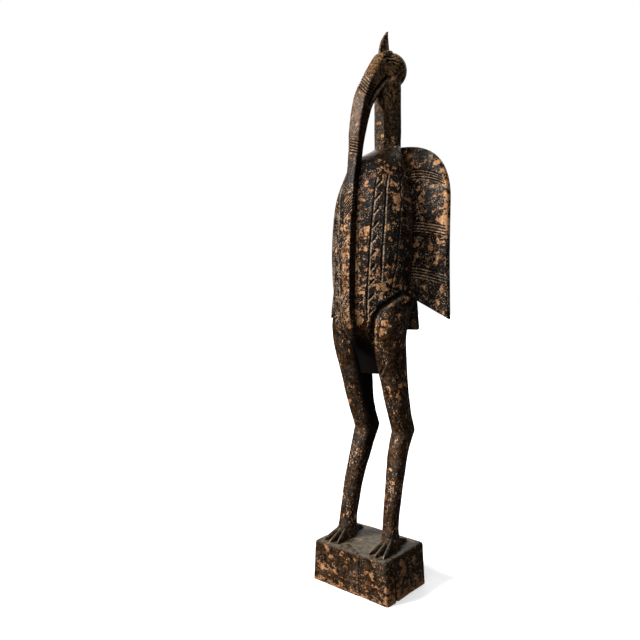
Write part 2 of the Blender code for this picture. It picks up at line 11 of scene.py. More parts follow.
import bpy
import numpy as np
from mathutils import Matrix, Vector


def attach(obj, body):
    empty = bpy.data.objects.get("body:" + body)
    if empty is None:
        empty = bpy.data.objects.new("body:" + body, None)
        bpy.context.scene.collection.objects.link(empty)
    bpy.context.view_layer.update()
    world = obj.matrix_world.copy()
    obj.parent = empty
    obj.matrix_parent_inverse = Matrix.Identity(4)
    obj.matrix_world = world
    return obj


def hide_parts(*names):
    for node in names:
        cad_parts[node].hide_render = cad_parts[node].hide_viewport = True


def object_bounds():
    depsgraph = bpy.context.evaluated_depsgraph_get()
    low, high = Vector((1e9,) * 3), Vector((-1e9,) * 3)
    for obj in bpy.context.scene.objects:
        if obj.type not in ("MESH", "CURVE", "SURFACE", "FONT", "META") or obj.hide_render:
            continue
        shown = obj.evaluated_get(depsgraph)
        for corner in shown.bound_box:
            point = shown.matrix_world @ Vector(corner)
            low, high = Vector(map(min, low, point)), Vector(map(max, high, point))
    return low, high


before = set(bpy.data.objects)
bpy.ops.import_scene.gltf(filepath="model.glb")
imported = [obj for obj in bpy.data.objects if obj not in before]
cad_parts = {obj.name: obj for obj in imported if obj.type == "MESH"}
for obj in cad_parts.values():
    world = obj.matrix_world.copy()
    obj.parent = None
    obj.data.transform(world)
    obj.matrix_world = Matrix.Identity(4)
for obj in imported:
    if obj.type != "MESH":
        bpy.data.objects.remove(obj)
CAD_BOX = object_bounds()

NODE = "hornbill_figure"

# Driving dimensions
HEIGHT = float(CAD_BOX[1][2])
BLOCK_HEIGHT = 0.085
SHOULDER_HEIGHT = 0.938
KNEE_HEIGHT = 0.317

# One horizontal cut through a form: its height, its centre, half its width, and how far it
# reaches in front of the centre and behind it. The squareness is 2 for an ellipse and more for a
# boxy cut.
Cut = namedtuple("Cut", "z x y half_width front back squareness")

# One cut across the beak: the middle of its upper face, half its width there, half its width at
# the underside, and its thickness.
Slice = namedtuple("Slice", "y z half_width half_under thickness")

# Body, from the underside between the thighs up to the shoulders
BODY = (
    Cut(z=0.441, x=0, y=0.018, half_width=0.0370, front=0.026, back=0.030, squareness=2.4),
    Cut(z=0.485, x=0, y=0.014, half_width=0.0440, front=0.038, back=0.048, squareness=2.2),
    Cut(z=0.515, x=0, y=0.010, half_width=0.0540, front=0.056, back=0.062, squareness=2.0),
    Cut(z=0.550, x=0, y=0.006, half_width=0.0675, front=0.068, back=0.070, squareness=2.0),
    Cut(z=0.590, x=0, y=0.004, half_width=0.0800, front=0.070, back=0.074, squareness=2.0),
    Cut(z=0.640, x=0, y=0.002, half_width=0.0878, front=0.068, back=0.072, squareness=2.0),
    Cut(z=0.700, x=0, y=0.004, half_width=0.0922, front=0.068, back=0.074, squareness=2.0),
    Cut(z=0.770, x=0, y=0.008, half_width=0.0900, front=0.069, back=0.074, squareness=2.0),
    Cut(z=0.815, x=0, y=0.013, half_width=0.0825, front=0.070, back=0.068, squareness=2.0),
    Cut(z=0.850, x=0, y=0.020, half_width=0.0680, front=0.072, back=0.063, squareness=2.0),
    Cut(z=0.876, x=0, y=0.028, half_width=0.0580, front=0.070, back=0.058, squareness=2.0),
    Cut(z=0.894, x=0, y=0.036, half_width=0.0510, front=0.059, back=0.053, squareness=2.0),
    Cut(z=0.908, x=0, y=0.045, half_width=0.0435, front=0.044, back=0.046, squareness=2.0),
    Cut(z=0.921, x=0, y=0.056, half_width=0.0360, front=0.029, back=0.037, squareness=2.0),
    Cut(z=0.932, x=0, y=0.065, half_width=0.0300, front=0.019, back=0.028, squareness=2.0),
    Cut(z=SHOULDER_HEIGHT, x=0, y=0.070, half_width=0.020, front=0.010, back=0.020, squareness=2.0),
)
BODY_ROWS = 400
BODY_FRONT_COLUMNS = 200
BODY_BACK_COLUMNS = 60

# Neck
NECK_Y = 0.066
NECK_HALF_WIDTH = 0.0265
NECK_HALF_DEPTH = 0.0298
NECK_SWELL = 0.0008
NECK_FOOT = 0.900
NECK_TOP = 1.105
NECK_FACETS = 8
NECK_SHARPNESS = 0.92
NECK_ROWS = 150
NECK_COLUMNS = 112

# Head and crest
HEAD_Y = 0.0787
HEAD_Z = 1.1070
HEAD_RADIUS = 0.0378
HEAD_HALF_WIDTH = 0.0343
HEAD_ROWS = 90
HEAD_COLUMNS = 120
CREST_FOOT = 1.128
CREST_FOOT_FRONT = 0.034
CREST_FOOT_BACK = 0.073
CREST_TIP_Y = 0.0635
CREST_TIP_REACH = 0.0018
CREST_HALF_THICKNESS = 0.0065
CREST_TIP_SHARE = 0.5
CREST_FRONT_CURVE = 2.2
CREST_BACK_CURVE = 0.9
CREST_SQUARENESS = 2.8
CREST_ROWS = 70
CREST_COLUMNS = 64

# Beak, from the forehead over its arch and down the keel to the tip on the belly
BEAK = (
    Slice(y=0.0620, z=1.144, half_width=0.0160, half_under=0.0160, thickness=0.060),
    Slice(y=0.0380, z=1.134, half_width=0.0170, half_under=0.0160, thickness=0.062),
    Slice(y=0.0110, z=1.100, half_width=0.0178, half_under=0.0150, thickness=0.053),
    Slice(y=-0.0210, z=1.052, half_width=0.0180, half_under=0.0140, thickness=0.042),
    Slice(y=-0.0408, z=1.010, half_width=0.0176, half_under=0.0130, thickness=0.035),
    Slice(y=-0.0562, z=0.944, half_width=0.0152, half_under=0.0125, thickness=0.027),
    Slice(y=-0.0622, z=0.885, half_width=0.0124, half_under=0.0110, thickness=0.021),
    Slice(y=-0.0730, z=0.817, half_width=0.0110, half_under=0.0105, thickness=0.020),
    Slice(y=-0.0795, z=0.745, half_width=0.0106, half_under=0.0100, thickness=0.021),
    Slice(y=-0.0835, z=0.665, half_width=0.0104, half_under=0.0100, thickness=0.021),
    Slice(y=-0.0835, z=0.600, half_width=0.0100, half_under=0.0095, thickness=0.021),
    Slice(y=-0.0800, z=0.560, half_width=0.0090, half_under=0.0090, thickness=0.021),
    Slice(y=-0.0670, z=0.525, half_width=0.0070, half_under=0.0070, thickness=0.022),
    Slice(y=-0.0400, z=0.496, half_width=0.0035, half_under=0.0040, thickness=0.016),
)
BEAK_SQUARENESS = 7.0
BEAK_ROWS = 560
BEAK_COLUMNS = 72

# Wings: a slab on each side of the back, its outline given for the left one
WING_SPAN = 0.1440
WING_SHOULDER = 0.937
WING_CORNER = 0.790
WING_ROUNDNESS = 2.5
WING_TIP_X = 0.1557
WING_TIP_Z = 0.556
WING_HOLLOW = 0.0015
WING_INNER_X = 0.020
WING_INNER_Z = 0.626
WING_SLANT_REACH = 0.200
WING_FRONT_Y = 0.050
WING_SWEEP = 0.010
WING_LEAN = 0.092
WING_THICKNESS_ROOT = 0.026
WING_THICKNESS_EDGE = 0.017
WING_RIM = 0.0065
WING_SIDE_ROWS = 240
WING_ARC_ROWS = 180
WING_FRONT_COLUMNS = 100
WING_BACK_COLUMNS = 50

# Tail, a plate below the back with a chisel edge along its bottom
TAIL_TOP_Z = 0.640
TAIL_BOTTOM_Z = 0.532
TAIL_HALF_TOP = 0.0630
TAIL_HALF_BOTTOM = 0.0720
TAIL_FRONT_TOP = 0.050
TAIL_FRONT_BOTTOM = 0.068
TAIL_BACK_Y = 0.086
TAIL_SQUARENESS = 7.0
TAIL_ROUNDING = 0.005
TAIL_ROWS = 90
TAIL_COLUMNS = 120

# Legs, given for the left one, from the top of the block up into the flank
LEG = (
    Cut(z=0.080, x=0.0575, y=-0.006, half_width=0.0180, front=0.0260, back=0.0240, squareness=2.5),
    Cut(z=0.100, x=0.0565, y=-0.005, half_width=0.0165, front=0.0220, back=0.0200, squareness=2.5),
    Cut(z=0.125, x=0.0552, y=-0.0042, half_width=0.0152, front=0.0170, back=0.0168, squareness=2.6),
    Cut(z=0.160, x=0.0536, y=0.0023, half_width=0.0159, front=0.0166, back=0.0163, squareness=2.6),
    Cut(z=0.205, x=0.0521, y=0.0128, half_width=0.0171, front=0.0176, back=0.0178, squareness=2.6),
    Cut(z=0.270, x=0.0480, y=0.0332, half_width=0.0192, front=0.0202, back=0.0220, squareness=2.6),
    Cut(z=0.306, x=0.0477, y=0.0467, half_width=0.0203, front=0.0218, back=0.0300, squareness=2.5),
    Cut(z=KNEE_HEIGHT, x=0.048, y=0.050, half_width=0.0205, front=0.0225, back=0.0338, squareness=2.4),
    Cut(z=0.331, x=0.0480, y=0.0480, half_width=0.0213, front=0.0242, back=0.0285, squareness=2.6),
    Cut(z=0.355, x=0.0485, y=0.0400, half_width=0.0228, front=0.0252, back=0.0243, squareness=2.6),
    Cut(z=0.395, x=0.0485, y=0.0270, half_width=0.0253, front=0.0262, back=0.0255, squareness=2.5),
    Cut(z=0.437, x=0.0480, y=0.0165, half_width=0.0280, front=0.0282, back=0.0290, squareness=2.4),
    Cut(z=0.475, x=0.0490, y=0.0060, half_width=0.0305, front=0.0308, back=0.0335, squareness=2.3),
    Cut(z=0.515, x=0.0508, y=-0.003, half_width=0.0325, front=0.0345, back=0.0380, squareness=2.2),
    Cut(z=0.545, x=0.0525, y=0.0000, half_width=0.0325, front=0.0430, back=0.0400, squareness=2.2),
    Cut(z=0.575, x=0.0595, y=0.0140, half_width=0.0265, front=0.0500, back=0.0340, squareness=2.2),
    Cut(z=0.605, x=0.0690, y=0.0320, half_width=0.0165, front=0.0470, back=0.0300, squareness=2.2),
    Cut(z=0.632, x=0.0560, y=0.0420, half_width=0.0200, front=0.0200, back=0.0240, squareness=2.2),
)
THIGH_MIDDLE = 0.475
HAUNCH_HEIGHT = 0.575
LEFT_FULLNESS = (1.0, 1.0, 1.0)
RIGHT_FULLNESS = (1.11, 1.16, 1.0)
LEG_ROWS = 420
LEG_COLUMNS = 72

# Toes: three in front and one behind on each foot
TOE_ROOT_X = 0.058
TOE_ROOT_Y = -0.008
TOE_ROOT_SPREAD = 0.006
TOE_TIP_SPREAD = 0.0175
TOE_TIP_Y = -0.064
TOE_SHORTER = 0.004
TOE_HALF_WIDTH = 0.0058
TOE_TIP_HEIGHT = 0.0095
TOE_RISE = 0.020
TOE_FALL = 1.4
TOE_SINK = 0.004
TOE_BLUNTNESS = 0.9
TOE_ARCH = 1.25
TOE_ROWS = 60
TOE_COLUMNS = 24
HEEL_ROOT_Y = 0.002
HEEL_TIP_Y = 0.052
HEEL_RISE = 0.012

# Block
BLOCK_OFFSET = -0.003
BLOCK_WIDTH_BELOW = 0.194
BLOCK_WIDTH_ABOVE = 0.182
BLOCK_DEPTH_BELOW = 0.140
BLOCK_DEPTH_ABOVE = 0.143
BLOCK_CORNER = 0.006
BLOCK_EDGE = 0.006
BLOCK_COLUMNS = 360
BLOCK_SIDE_ROWS = 64
BLOCK_CAP_ROWS = 50

# Lines down each flank, given as (height, distance from the middle)
INNER_LINE = ((0.555, 0.0330), (0.655, 0.0390), (0.735, 0.0425), (0.796, 0.0450), (0.842, 0.0440))
OUTER_LINE = ((0.635, 0.0610), (0.695, 0.0635), (0.755, 0.0655), (0.806, 0.0640), (0.850, 0.0580))
SIDE_LINE = ((0.610, 0.0724), (0.635, 0.0776), (0.665, 0.0827), (0.715, 0.0852), (0.766, 0.0856),
             (0.797, 0.0831), (0.819, 0.0785), (0.8475, 0.0688), (0.879, 0.0566), (0.900, 0.0465))
FLANK_LINE_WIDTH = 0.0044
FLANK_LINE_DEPTH = 0.0024

# Lines over each shoulder, given for the left one: along the wing's root and down from there to
# the side line, with a faint stroke lower down, and short strokes across the right flank
SHOULDER_LINE = ((0.036, 0.050, 0.9190), (0.046, 0.053, 0.9050), (0.0600, 0.0500, 0.8890),
                 (0.0630, 0.0460, 0.8770))
SHOULDER_STROKE = ((0.0630, 0.0460, 0.8770), (0.0610, 0.0373, 0.8632), (0.0677, 0.0156, 0.8500))
LOWER_STROKE = ((0.0867, 0.0200, 0.7884), (0.0880, 0.0125, 0.7822), (0.0889, 0.0051, 0.7760))
SIDE_LIT = 0.15
HATCH_FROM_X = -0.078
HATCH_TO_X = -0.049
HATCH_TOP = 0.742
HATCH_COUNT = 6
HATCH_PITCH = 0.0056
HATCH_RISE = 0.009
HATCH_WIDTH = 0.0032
HATCH_DEPTH = 0.0016

# Chevrons between the two inner lines of each flank
CHEVRON_TOP = 0.826
CHEVRON_BOTTOM = 0.566
CHEVRON_COUNT = 10
CHEVRON_RISE = 0.012
CHEVRON_WIDTH = 0.0046
CHEVRON_DEPTH = 0.0026
CHEVRON_OUTER_SHARE = 0.55
CHEVRON_GAP = 0.0022

# Bands of cut lines across the wings
BAND_START_X = (0.054, 0.058, 0.062)
BAND_STARTS = (0.8780, 0.7650, 0.6670)
BAND_FALLS = (0.0235, 0.0190, 0.0210)
BAND_CURVES = (2.0, 1.55, 1.45)
BAND_LINES = 4
BAND_PITCH = 0.0062
BAND_LINE_WIDTH = 0.0036
BAND_LINE_DEPTH = 0.0024

# Lines cut into the sides of the head, given for its left as (x, y, z)
MOUTH_LINE = ((0.0178, 0.0450, 1.0790), (0.0172, 0.0350, 1.0735), (0.0166, 0.0219, 1.0596),
              (0.0160, 0.0036, 1.0416), (0.0158, -0.0102, 1.0231), (0.0156, -0.0230, 1.0010))
BROW_LINE = ((0.0174, 0.0268, 1.1141), (0.0176, 0.0425, 1.1227), (0.0225, 0.0570, 1.1235))
EYE_LINE = ((0.0173, 0.0348, 1.1082), (0.0205, 0.0490, 1.1155), (0.0290, 0.0620, 1.1115))
FACE_LINE_WIDTH = 0.0048
FACE_LINE_DEPTH = 0.0032
MOUTH_WIDTH = 0.0092
MOUTH_DEPTH = 0.0056

# Bands of slanting lines across the beak's front: height of the first line, how far the lines
# rise for each metre toward the bird's left, and the step down from line to line
BeakBand = namedtuple("BeakBand", "z slope pitch count")
BEAK_BANDS = (BeakBand(z=1.062, slope=-0.90, pitch=0.0066, count=5),
              BeakBand(z=0.922, slope=-0.35, pitch=0.0058, count=5),
              BeakBand(z=0.801, slope=1.00, pitch=0.0062, count=6))
BEAK_BAND_WIDTH = 0.0034
BEAK_BAND_DEPTH = 0.0018

# The edge that parts each haunch from the belly, the notch where the haunch ends inside the leg,
# both given for the left one, and the line down to the tip of the beak
HAUNCH_LINE = ((0.0813, -0.0090, 0.6053), (0.0757, -0.0222, 0.5991), (0.0667, -0.0338, 0.5890),
               (0.0581, -0.0414, 0.5800), (0.0509, -0.0461, 0.5710), (0.0430, -0.0470, 0.5528),
               (0.0380, -0.0440, 0.5380), (0.0305, -0.0349, 0.5137))
HAUNCH_WIDTH = 0.0120
HAUNCH_DEPTH = 0.0042
HAUNCH_LIT = 0.4
NOTCH_LINE = ((0.0537, -0.0220, 0.4692), (0.0458, -0.0178, 0.4561), (0.0366, -0.0117, 0.4427))
NOTCH_WIDTH = 0.0048
NOTCH_DEPTH = 0.0026
NOTCH_LIT = 0.6
TIP_LINE = ((-0.0200, -0.0600, 0.5420), (-0.0110, -0.0650, 0.5320), (-0.0040, -0.0600, 0.5180),
            (-0.0017, -0.0534, 0.5092), (-0.0040, -0.0400, 0.5000))
TIP_WIDTH = 0.0030
TIP_DEPTH = 0.0012

# Splits in the block, each given as (x, y) with the height it reaches, its width and its depth
Split = namedtuple("Split", "x y top width depth")
SPLITS = (Split(x=0.0247, y=-0.0712, top=0.086, width=0.0034, depth=0.0045),
          Split(x=0.0390, y=-0.0712, top=0.045, width=0.0024, depth=0.0020),
          Split(x=0.0925, y=-0.0385, top=0.080, width=0.0100, depth=0.0042),
          Split(x=-0.0600, y=0.0712, top=0.070, width=0.0030, depth=0.0035))
SPLIT_WANDER = 0.0012
SPLIT_LIT = 0.15

# How uneven each form is hewn: how far its surface moves, and the size of the swells
Hewing = namedtuple("Hewing", "amount size")
BODY_HEWING = Hewing(amount=0.0006, size=0.045)
NECK_HEWING = Hewing(amount=0.0005, size=0.03)
HEAD_HEWING = Hewing(amount=0.0006, size=0.02)
CREST_HEWING = Hewing(amount=0.0003, size=0.015)
BEAK_HEWING = Hewing(amount=0.0004, size=0.03)
WING_HEWING = Hewing(amount=0.0006, size=0.04)
TAIL_HEWING = Hewing(amount=0.0005, size=0.03)
LEG_HEWING = Hewing(amount=0.0008, size=0.03)
BLOCK_HEWING = Hewing(amount=0.0008, size=0.025)

# The joined piece: the most triangles it keeps, and the angle past which an edge stays sharp
MOST_TRIANGLES = 196000
SHARP_EDGE = 38.0

# Camera, fitted to the photograph's view
CAMERA_PLACE = (0.7282, -0.9995, 0.575)
CAMERA_TURN = 41.0
CAMERA_SENSOR = 36.0
CAMERA_LENS = 32.625
CAMERA_SHIFT_Y = -10 / 640

# Studio. A light has its turn round the figure, its elevation and its softness in degrees.
FLOOR_REACH = 60.0
FLOOR_GAP = 0.0002
FLOOR_GLOW = 0.5
FLOOR_COLOUR = (0.86, 0.86, 0.86, 1)
FLOOR_ROUGHNESS = 0.9
WHITE = (1, 1, 1, 1)
AMBIENT = 0.07
Light = namedtuple("Light", "name turn elevation softness strength colour")
LIGHTS = (
    Light("key_light", turn=-33, elevation=40, softness=20, strength=6.0, colour=(1.0, 0.98, 0.95)),
    Light("fill_light", turn=18, elevation=30, softness=50, strength=1.1, colour=WHITE[:3]),
    Light("rear_light", turn=205, elevation=30, softness=50, strength=1.2, colour=WHITE[:3]),
)

# Colours of the paint, the wood, the dirt, and the dirt and painted shade in hollows
BROWN_BLACK = (0.0052, 0.0028, 0.0015, 1)
SLATE_BLACK = (0.0100, 0.0106, 0.0112, 1)
RUBBED_BROWN = (0.080, 0.048, 0.028, 1)
HANDLED_BROWN = (0.300, 0.160, 0.058, 1)
RED_BROWN = (0.175, 0.074, 0.027, 1)
STAINED = (0.095, 0.038, 0.013, 1)
PALE_FLECK = (0.50, 0.35, 0.23, 1)
HANDLED_WOOD = (0.26, 0.15, 0.07, 1)
RUSTY_WOOD = (0.20, 0.088, 0.040, 1)
# Dirt with painted shade, for cut lines, creases, between the legs, the beak's sides and between the
# toes
GROOVE_DIRT_AND_SHADE = (0.0018, 0.0012, 0.0009, 1)
DUST = (0.130, 0.108, 0.078, 1)
PAINT_SPECULAR = 0.09
WOOD_TONES = ((0.28, (0.19, 0.072, 0.025)), (0.45, (0.44, 0.210, 0.090)),
              (0.60, (0.62, 0.360, 0.190)), (0.78, (0.74, 0.530, 0.360)))

# Patches where the paint has gone down to the wood, as (x, z, radius) seen from the front: on
# the front of the bird, on the wings and on the block
FRONT_PATCHES = (
    (0.026, 0.831, 0.0065), (0.038, 0.817, 0.0060), (0.024, 0.798, 0.0060), (0.033, 0.732, 0.0130),
    (0.029, 0.698, 0.0080), (0.052, 0.691, 0.0070), (0.079, 0.799, 0.0090), (0.080, 0.782, 0.0070),
    (0.073, 0.741, 0.0080), (0.059, 0.743, 0.0050), (0.021, 0.555, 0.0070), (0.032, 0.623, 0.0070),
    (0.026, 0.611, 0.0060), (0.075, 0.715, 0.0050),
    (-0.026, 0.745, 0.0080), (-0.024, 0.552, 0.0060), (-0.048, 0.700, 0.0070),
    (0.000, 0.763, 0.0070), (0.002, 0.716, 0.0050), (-0.005, 0.686, 0.0050), (-0.001, 0.660, 0.006),
    (-0.003, 0.982, 0.0060), (0.007, 0.953, 0.0060), (-0.002, 0.903, 0.0080),
    (0.067, 0.547, 0.0088), (0.062, 0.531, 0.0092), (0.047, 0.532, 0.0050), (0.041, 0.510, 0.005),
    (0.047, 0.414, 0.0060), (0.069, 0.394, 0.0060), (0.075, 0.420, 0.0060), (-0.064, 0.455, 0.006),
    (-0.058, 0.377, 0.0070), (0.050, 0.302, 0.0060), (0.047, 0.242, 0.0060), (-0.061, 0.172, 0.006),
)
WING_PATCHES = (
    (0.132, 0.761, 0.0125), (0.080, 0.814, 0.0095), (0.121, 0.674, 0.0072), (0.074, 0.690, 0.0075),
    (0.142, 0.622, 0.0070), (0.097, 0.625, 0.0060), (0.068, 0.675, 0.0065), (0.045, 0.909, 0.006),
    (0.055, 0.894, 0.0065), (0.066, 0.883, 0.0065), (0.114, 0.886, 0.0080), (0.115, 0.815, 0.006),
    (0.073, 0.715, 0.0065), (0.075, 0.771, 0.0050), (0.105, 0.838, 0.0050), (-0.120, 0.700, 0.01),
    (-0.095, 0.830, 0.0090), (-0.110, 0.640, 0.0080), (-0.070, 0.760, 0.0070),
)
BLOCK_PATCHES = (
    (-0.059, 0.078, 0.0085), (-0.022, 0.076, 0.0080), (-0.074, 0.033, 0.0095), (0.012, 0.074, 0.006),
    (0.059, 0.079, 0.0080), (-0.011, 0.052, 0.0070), (-0.051, 0.059, 0.0060), (-0.038, 0.035, 0.008),
    (0.076, 0.073, 0.0060), (-0.022, 0.013, 0.0060), (-0.077, 0.009, 0.0065), (0.057, 0.053, 0.006),
)
# Where the wings' patches take over from those of the front, along y
WING_FRONT_FROM = 0.045
WING_FRONT_BLEND = 0.003

# How the flaking is drawn along the height: its patches come out tall on the legs, below their
# top, and flat on the block
LEG_TOP = 0.56
LEG_SQUEEZE = 0.5
BLOCK_SQUEEZE = 1.6

# Worn patches seen from the side, as (y, z, radius): on the block, neck, head and left leg
SIDE_PATCHES = (
    (-0.017, 0.071, 0.0080), (-0.008, 0.052, 0.0080), (0.030, 0.059, 0.0080), (0.037, 0.021, 0.007),
    (0.055, 0.940, 0.0120), (0.080, 0.965, 0.0080), (0.060, 0.995, 0.0060), (0.082, 1.040, 0.0070),
    (0.052, 1.074, 0.0090), (0.032, 1.098, 0.0070), (0.078, 1.090, 0.0060), (0.060, 0.352, 0.010),
    (0.006, 0.500, 0.0100), (0.018, 0.445, 0.0080), (0.022, 0.192, 0.0070), (0.000, 0.128, 0.007),
)
SIDE_RAGGED = 0.45
SIDE_RAGGED_SIZE = 0.009

# How much a patch adds to the flaking noise, how far past its radius it reaches, how far noise
# pushes its outline about, and the sum past which the paint is off
PATCH_STRENGTH = 0.26
PATCH_REACH = 1.25
PATCH_RAGGED = 0.022
PATCH_RAGGED_SCALE = 110.0
FLAKING_THRESHOLD = 1.075

# What each zone adds to the flaking noise, and to the pale flecks. The negative shares of crease,
# hollow, between and beak_side keep the paint whole and black there as painted shade
WORN_SHARES = {
    "rim": 0.10, "crease": -0.10, "hollow": -0.15, "under": -0.10, "sides": PATCH_STRENGTH,
    "leg": -0.02, "shin": -0.03, "ankle": -0.04, "toe": -0.06, "between": -0.25,
    "block": 0.01, "block_side": 0.07, "block_edge": -0.12, "foot": 0.12,
    "on_wing": 0.03, "wing_rim": 0.13, "wing_foot": -0.04, "far_flank": -0.04,
    "high_beak": -0.04, "low_beak": 0.08, "beak_side": -0.20,
    "calm": -0.06, "crest_back": 0.30, "crest_tip": -0.30,
}
SPECKLED = 0.55
SPECKLED_SHARES = {
    "on_wing": 0.40, "low_beak": 0.80, "high_beak": 0.30, "far_flank": 0.40, "shin": 0.10,
    "block": -0.25, "calm": -0.20, "between": -0.50, "beak_side": -0.60,
}

# Every cut line is kept here, so that paint, dirt and painted shade can follow it: its path and width,
# the side it is seen from, and how strong a painted highlight lies on the edge that faces the light
CarvedLine = namedtuple("CarvedLine", "path width seen lit")
FRONT_REACH = 0.008
carved_lines = []


def smooth_rows(rows, count):
    """Rows at equal steps along the Catmull-Rom curve through the given rows.

    Between rows p1 and p2 the curve is the cubic with ends p1 and p2 and with end slopes
    (p2 - p0) / 2 and (p3 - p1) / 2.
    """
    rows = np.array(rows, dtype=float)
    last = len(rows) - 1
    place = np.linspace(0, last, count)
    first = np.minimum(place.astype(int), last - 1)
    t = (place - first)[:, None]
    leave = (rows[first + 1] - rows[np.maximum(first - 1, 0)]) / 2
    arrive = (rows[np.minimum(first + 2, last)] - rows[first]) / 2
    return ((2 * t**3 - 3 * t**2 + 1) * rows[first] + (t**3 - 2 * t**2 + t) * leave
            + (3 * t**2 - 2 * t**3) * rows[first + 1] + (t**3 - t**2) * arrive)


def swell(points, size, seed):
    """Smooth random values between -1 and 1 at the points, with crests about `size` apart.

    Each corner of a cubic lattice has a random value, and inside a cell the eight corner values
    are blended by the smooth step 3 f^2 - 2 f^3 along each axis.
    """
    place = np.asarray(points) / size + seed * 7.31
    cell = np.floor(place).astype(np.int64)
    f = place - cell
    f = f * f * (3 - 2 * f)
    total = np.zeros(place.shape[:-1])
    for corner in np.ndindex(2, 2, 2):
        spot = cell + np.array(corner)
        mixed = spot[..., 0] * 73856093 ^ spot[..., 1] * 19349663 ^ spot[..., 2] * 83492791
        mixed = (mixed ^ (mixed >> 13)) * 1274126177
        value = ((mixed ^ (mixed >> 16)) & 0xFFFF) / 32767.5 - 1
        weight = np.prod(np.where(np.array(corner) == 1, f, 1 - f), axis=-1)
        total += weight * value
    return total


def outward(rings):
    """The rings with their columns in the order that turns the closed surface's faces outward."""
    across = np.roll(rings, -1, axis=1)
    centres = rings.mean(axis=1, keepdims=True)
    spans = np.cross(rings - centres, across - centres).sum(axis=1)
    steps = np.gradient(centres[:, 0], axis=0)
    volume = (spans * steps).sum()
    return rings if volume > 0 else rings[:, ::-1]


def surface_normals(rings):
    """Unit normals of a closed grid: the cross product of its steps around and along."""
    around = np.roll(rings, -1, axis=1) - np.roll(rings, 1, axis=1)
    along = np.gradient(rings, axis=0)
    normals = np.cross(around, along)
    lengths = np.linalg.norm(normals, axis=-1, keepdims=True)
    return normals / np.maximum(lengths, 1e-12)


def path_offset(points, path):
    """From the nearest spot of a path of straight runs to each point: distances and vectors."""
    nearest = np.full(points.shape[:-1], np.inf)
    offset = np.zeros(points.shape)
    for start, end in zip(path[:-1], path[1:]):
        run = end - start
        share = np.clip(((points - start) @ run) / (run @ run), 0, 1)
        away = points - start - share[..., None] * run
        gap = np.linalg.norm(away, axis=-1)
        closer = gap < nearest
        nearest[closer] = gap[closer]
        offset[closer] = away[closer]
    return nearest, offset


def near_path(points, path, reach, seen):
    """Which points lie within reach of a path, with the distances and vectors from it to those.

    Seen from the side, the distance leaves x out and covers the path's side only. Seen from the
    front, it leaves y out and covers what is less than FRONT_REACH from the path along y.
    """
    low = path.min(axis=0) - reach
    high = path.max(axis=0) + reach
    kept = np.ones(3)
    if seen == "side":
        low[0], high[0] = (0.004, 1.0) if path[0, 0] > 0 else (-1.0, -0.004)
        kept[0] = 0
    if seen == "front":
        low[1] = path[:, 1].min() - FRONT_REACH
        high[1] = path[:, 1].max() + FRONT_REACH
        kept[1] = 0
    near = np.all((points > low) & (points < high), axis=-1)
    return near, *path_offset(points[near] * kept, path * kept)


def cut_lines(rings, paths, width, depth, seen="all round", lit=1.0):
    """The rings with V-shaped lines cut in along the paths.

    A point at distance d from a path sinks by depth * (1 - d / (width / 2)), and a low burr of a
    fifth of the depth stands along each side of the line.
    """
    normals = surface_normals(rings)
    sink = np.zeros(rings.shape[:2])
    for path in paths:
        path = np.array(path)
        carved_lines.append(CarvedLine(path, width, seen, lit))
        near, gap, away = near_path(rings, path, 3 * width, seen)
        groove = np.clip(1 - gap / (width / 2), 0, None) * depth
        burr = 0.2 * depth * np.exp(-((gap - 0.75 * width) / (0.3 * width))**2)
        sink[near] = np.maximum(sink[near], groove) - burr
    return rings - normals * sink[..., None]


def hewn(rings, hewing, seed):
    """The rings with the slight unevenness of a form hewn and smoothed by hand.

    Each point moves along its normal by amount * (0.7 of a swell of the given size and 0.3 of one
    a third of that size).
    """
    normals = surface_normals(rings)
    uneven = 0.7 * swell(rings, hewing.size, seed) + 0.3 * swell(rings, hewing.size / 3, seed + 5)
    return rings + normals * (hewing.amount * uneven)[..., None]


def closed_form(name, rings):
    """A closed mesh object over a grid of rings, with a fan of triangles over each end."""
    rings = outward(rings)
    rows, columns = rings.shape[:2]
    points = np.concatenate([rings.reshape(-1, 3), rings[[0, -1]].mean(axis=1)])
    index = np.arange(rows * columns).reshape(rows, columns)
    beside = np.roll(index, -1, axis=1)
    quads = np.stack([index[:-1], beside[:-1], beside[1:], index[1:]], axis=-1).reshape(-1, 4)
    foot = np.full(columns, rows * columns)
    first = np.stack([beside[0], index[0], foot], axis=-1)
    last = np.stack([index[-1], beside[-1], foot + 1], axis=-1)
    corners = np.concatenate([quads.ravel(), first.ravel(), last.ravel()])
    sizes = np.concatenate([np.full(len(quads), 4), np.full(2 * columns, 3)])
    mesh = bpy.data.meshes.new(name)
    mesh.vertices.add(len(points))
    mesh.vertices.foreach_set("co", points.ravel())
    mesh.loops.add(len(corners))
    mesh.loops.foreach_set("vertex_index", corners)
    mesh.polygons.add(len(sizes))
    mesh.polygons.foreach_set("loop_start", np.concatenate([[0], np.cumsum(sizes)[:-1]]))
    mesh.update(calc_edges=True)
    return bpy.data.objects.new(name, mesh)


def cut_rings(cuts, turns):
    """Rings through horizontal cuts: superellipses with unlike reach in front and behind.

    At turn t the point stands half_width * |cos t|^(2/n) to the side of the centre and
    front or back * |sin t|^(2/n) along, with the signs of the cosine and the sine.
    """
    z, x, y, half_width, front, back, squareness = [cuts[:, [i]] for i in range(7)]
    power = 2 / squareness
    across = np.sign(np.cos(turns)) * np.abs(np.cos(turns)) ** power
    along = np.sign(np.sin(turns)) * np.abs(np.sin(turns)) ** power
    reach = np.where(along < 0, front, back)
    return np.stack([x + half_width * across, y + reach * along, z + 0 * across], axis=-1)


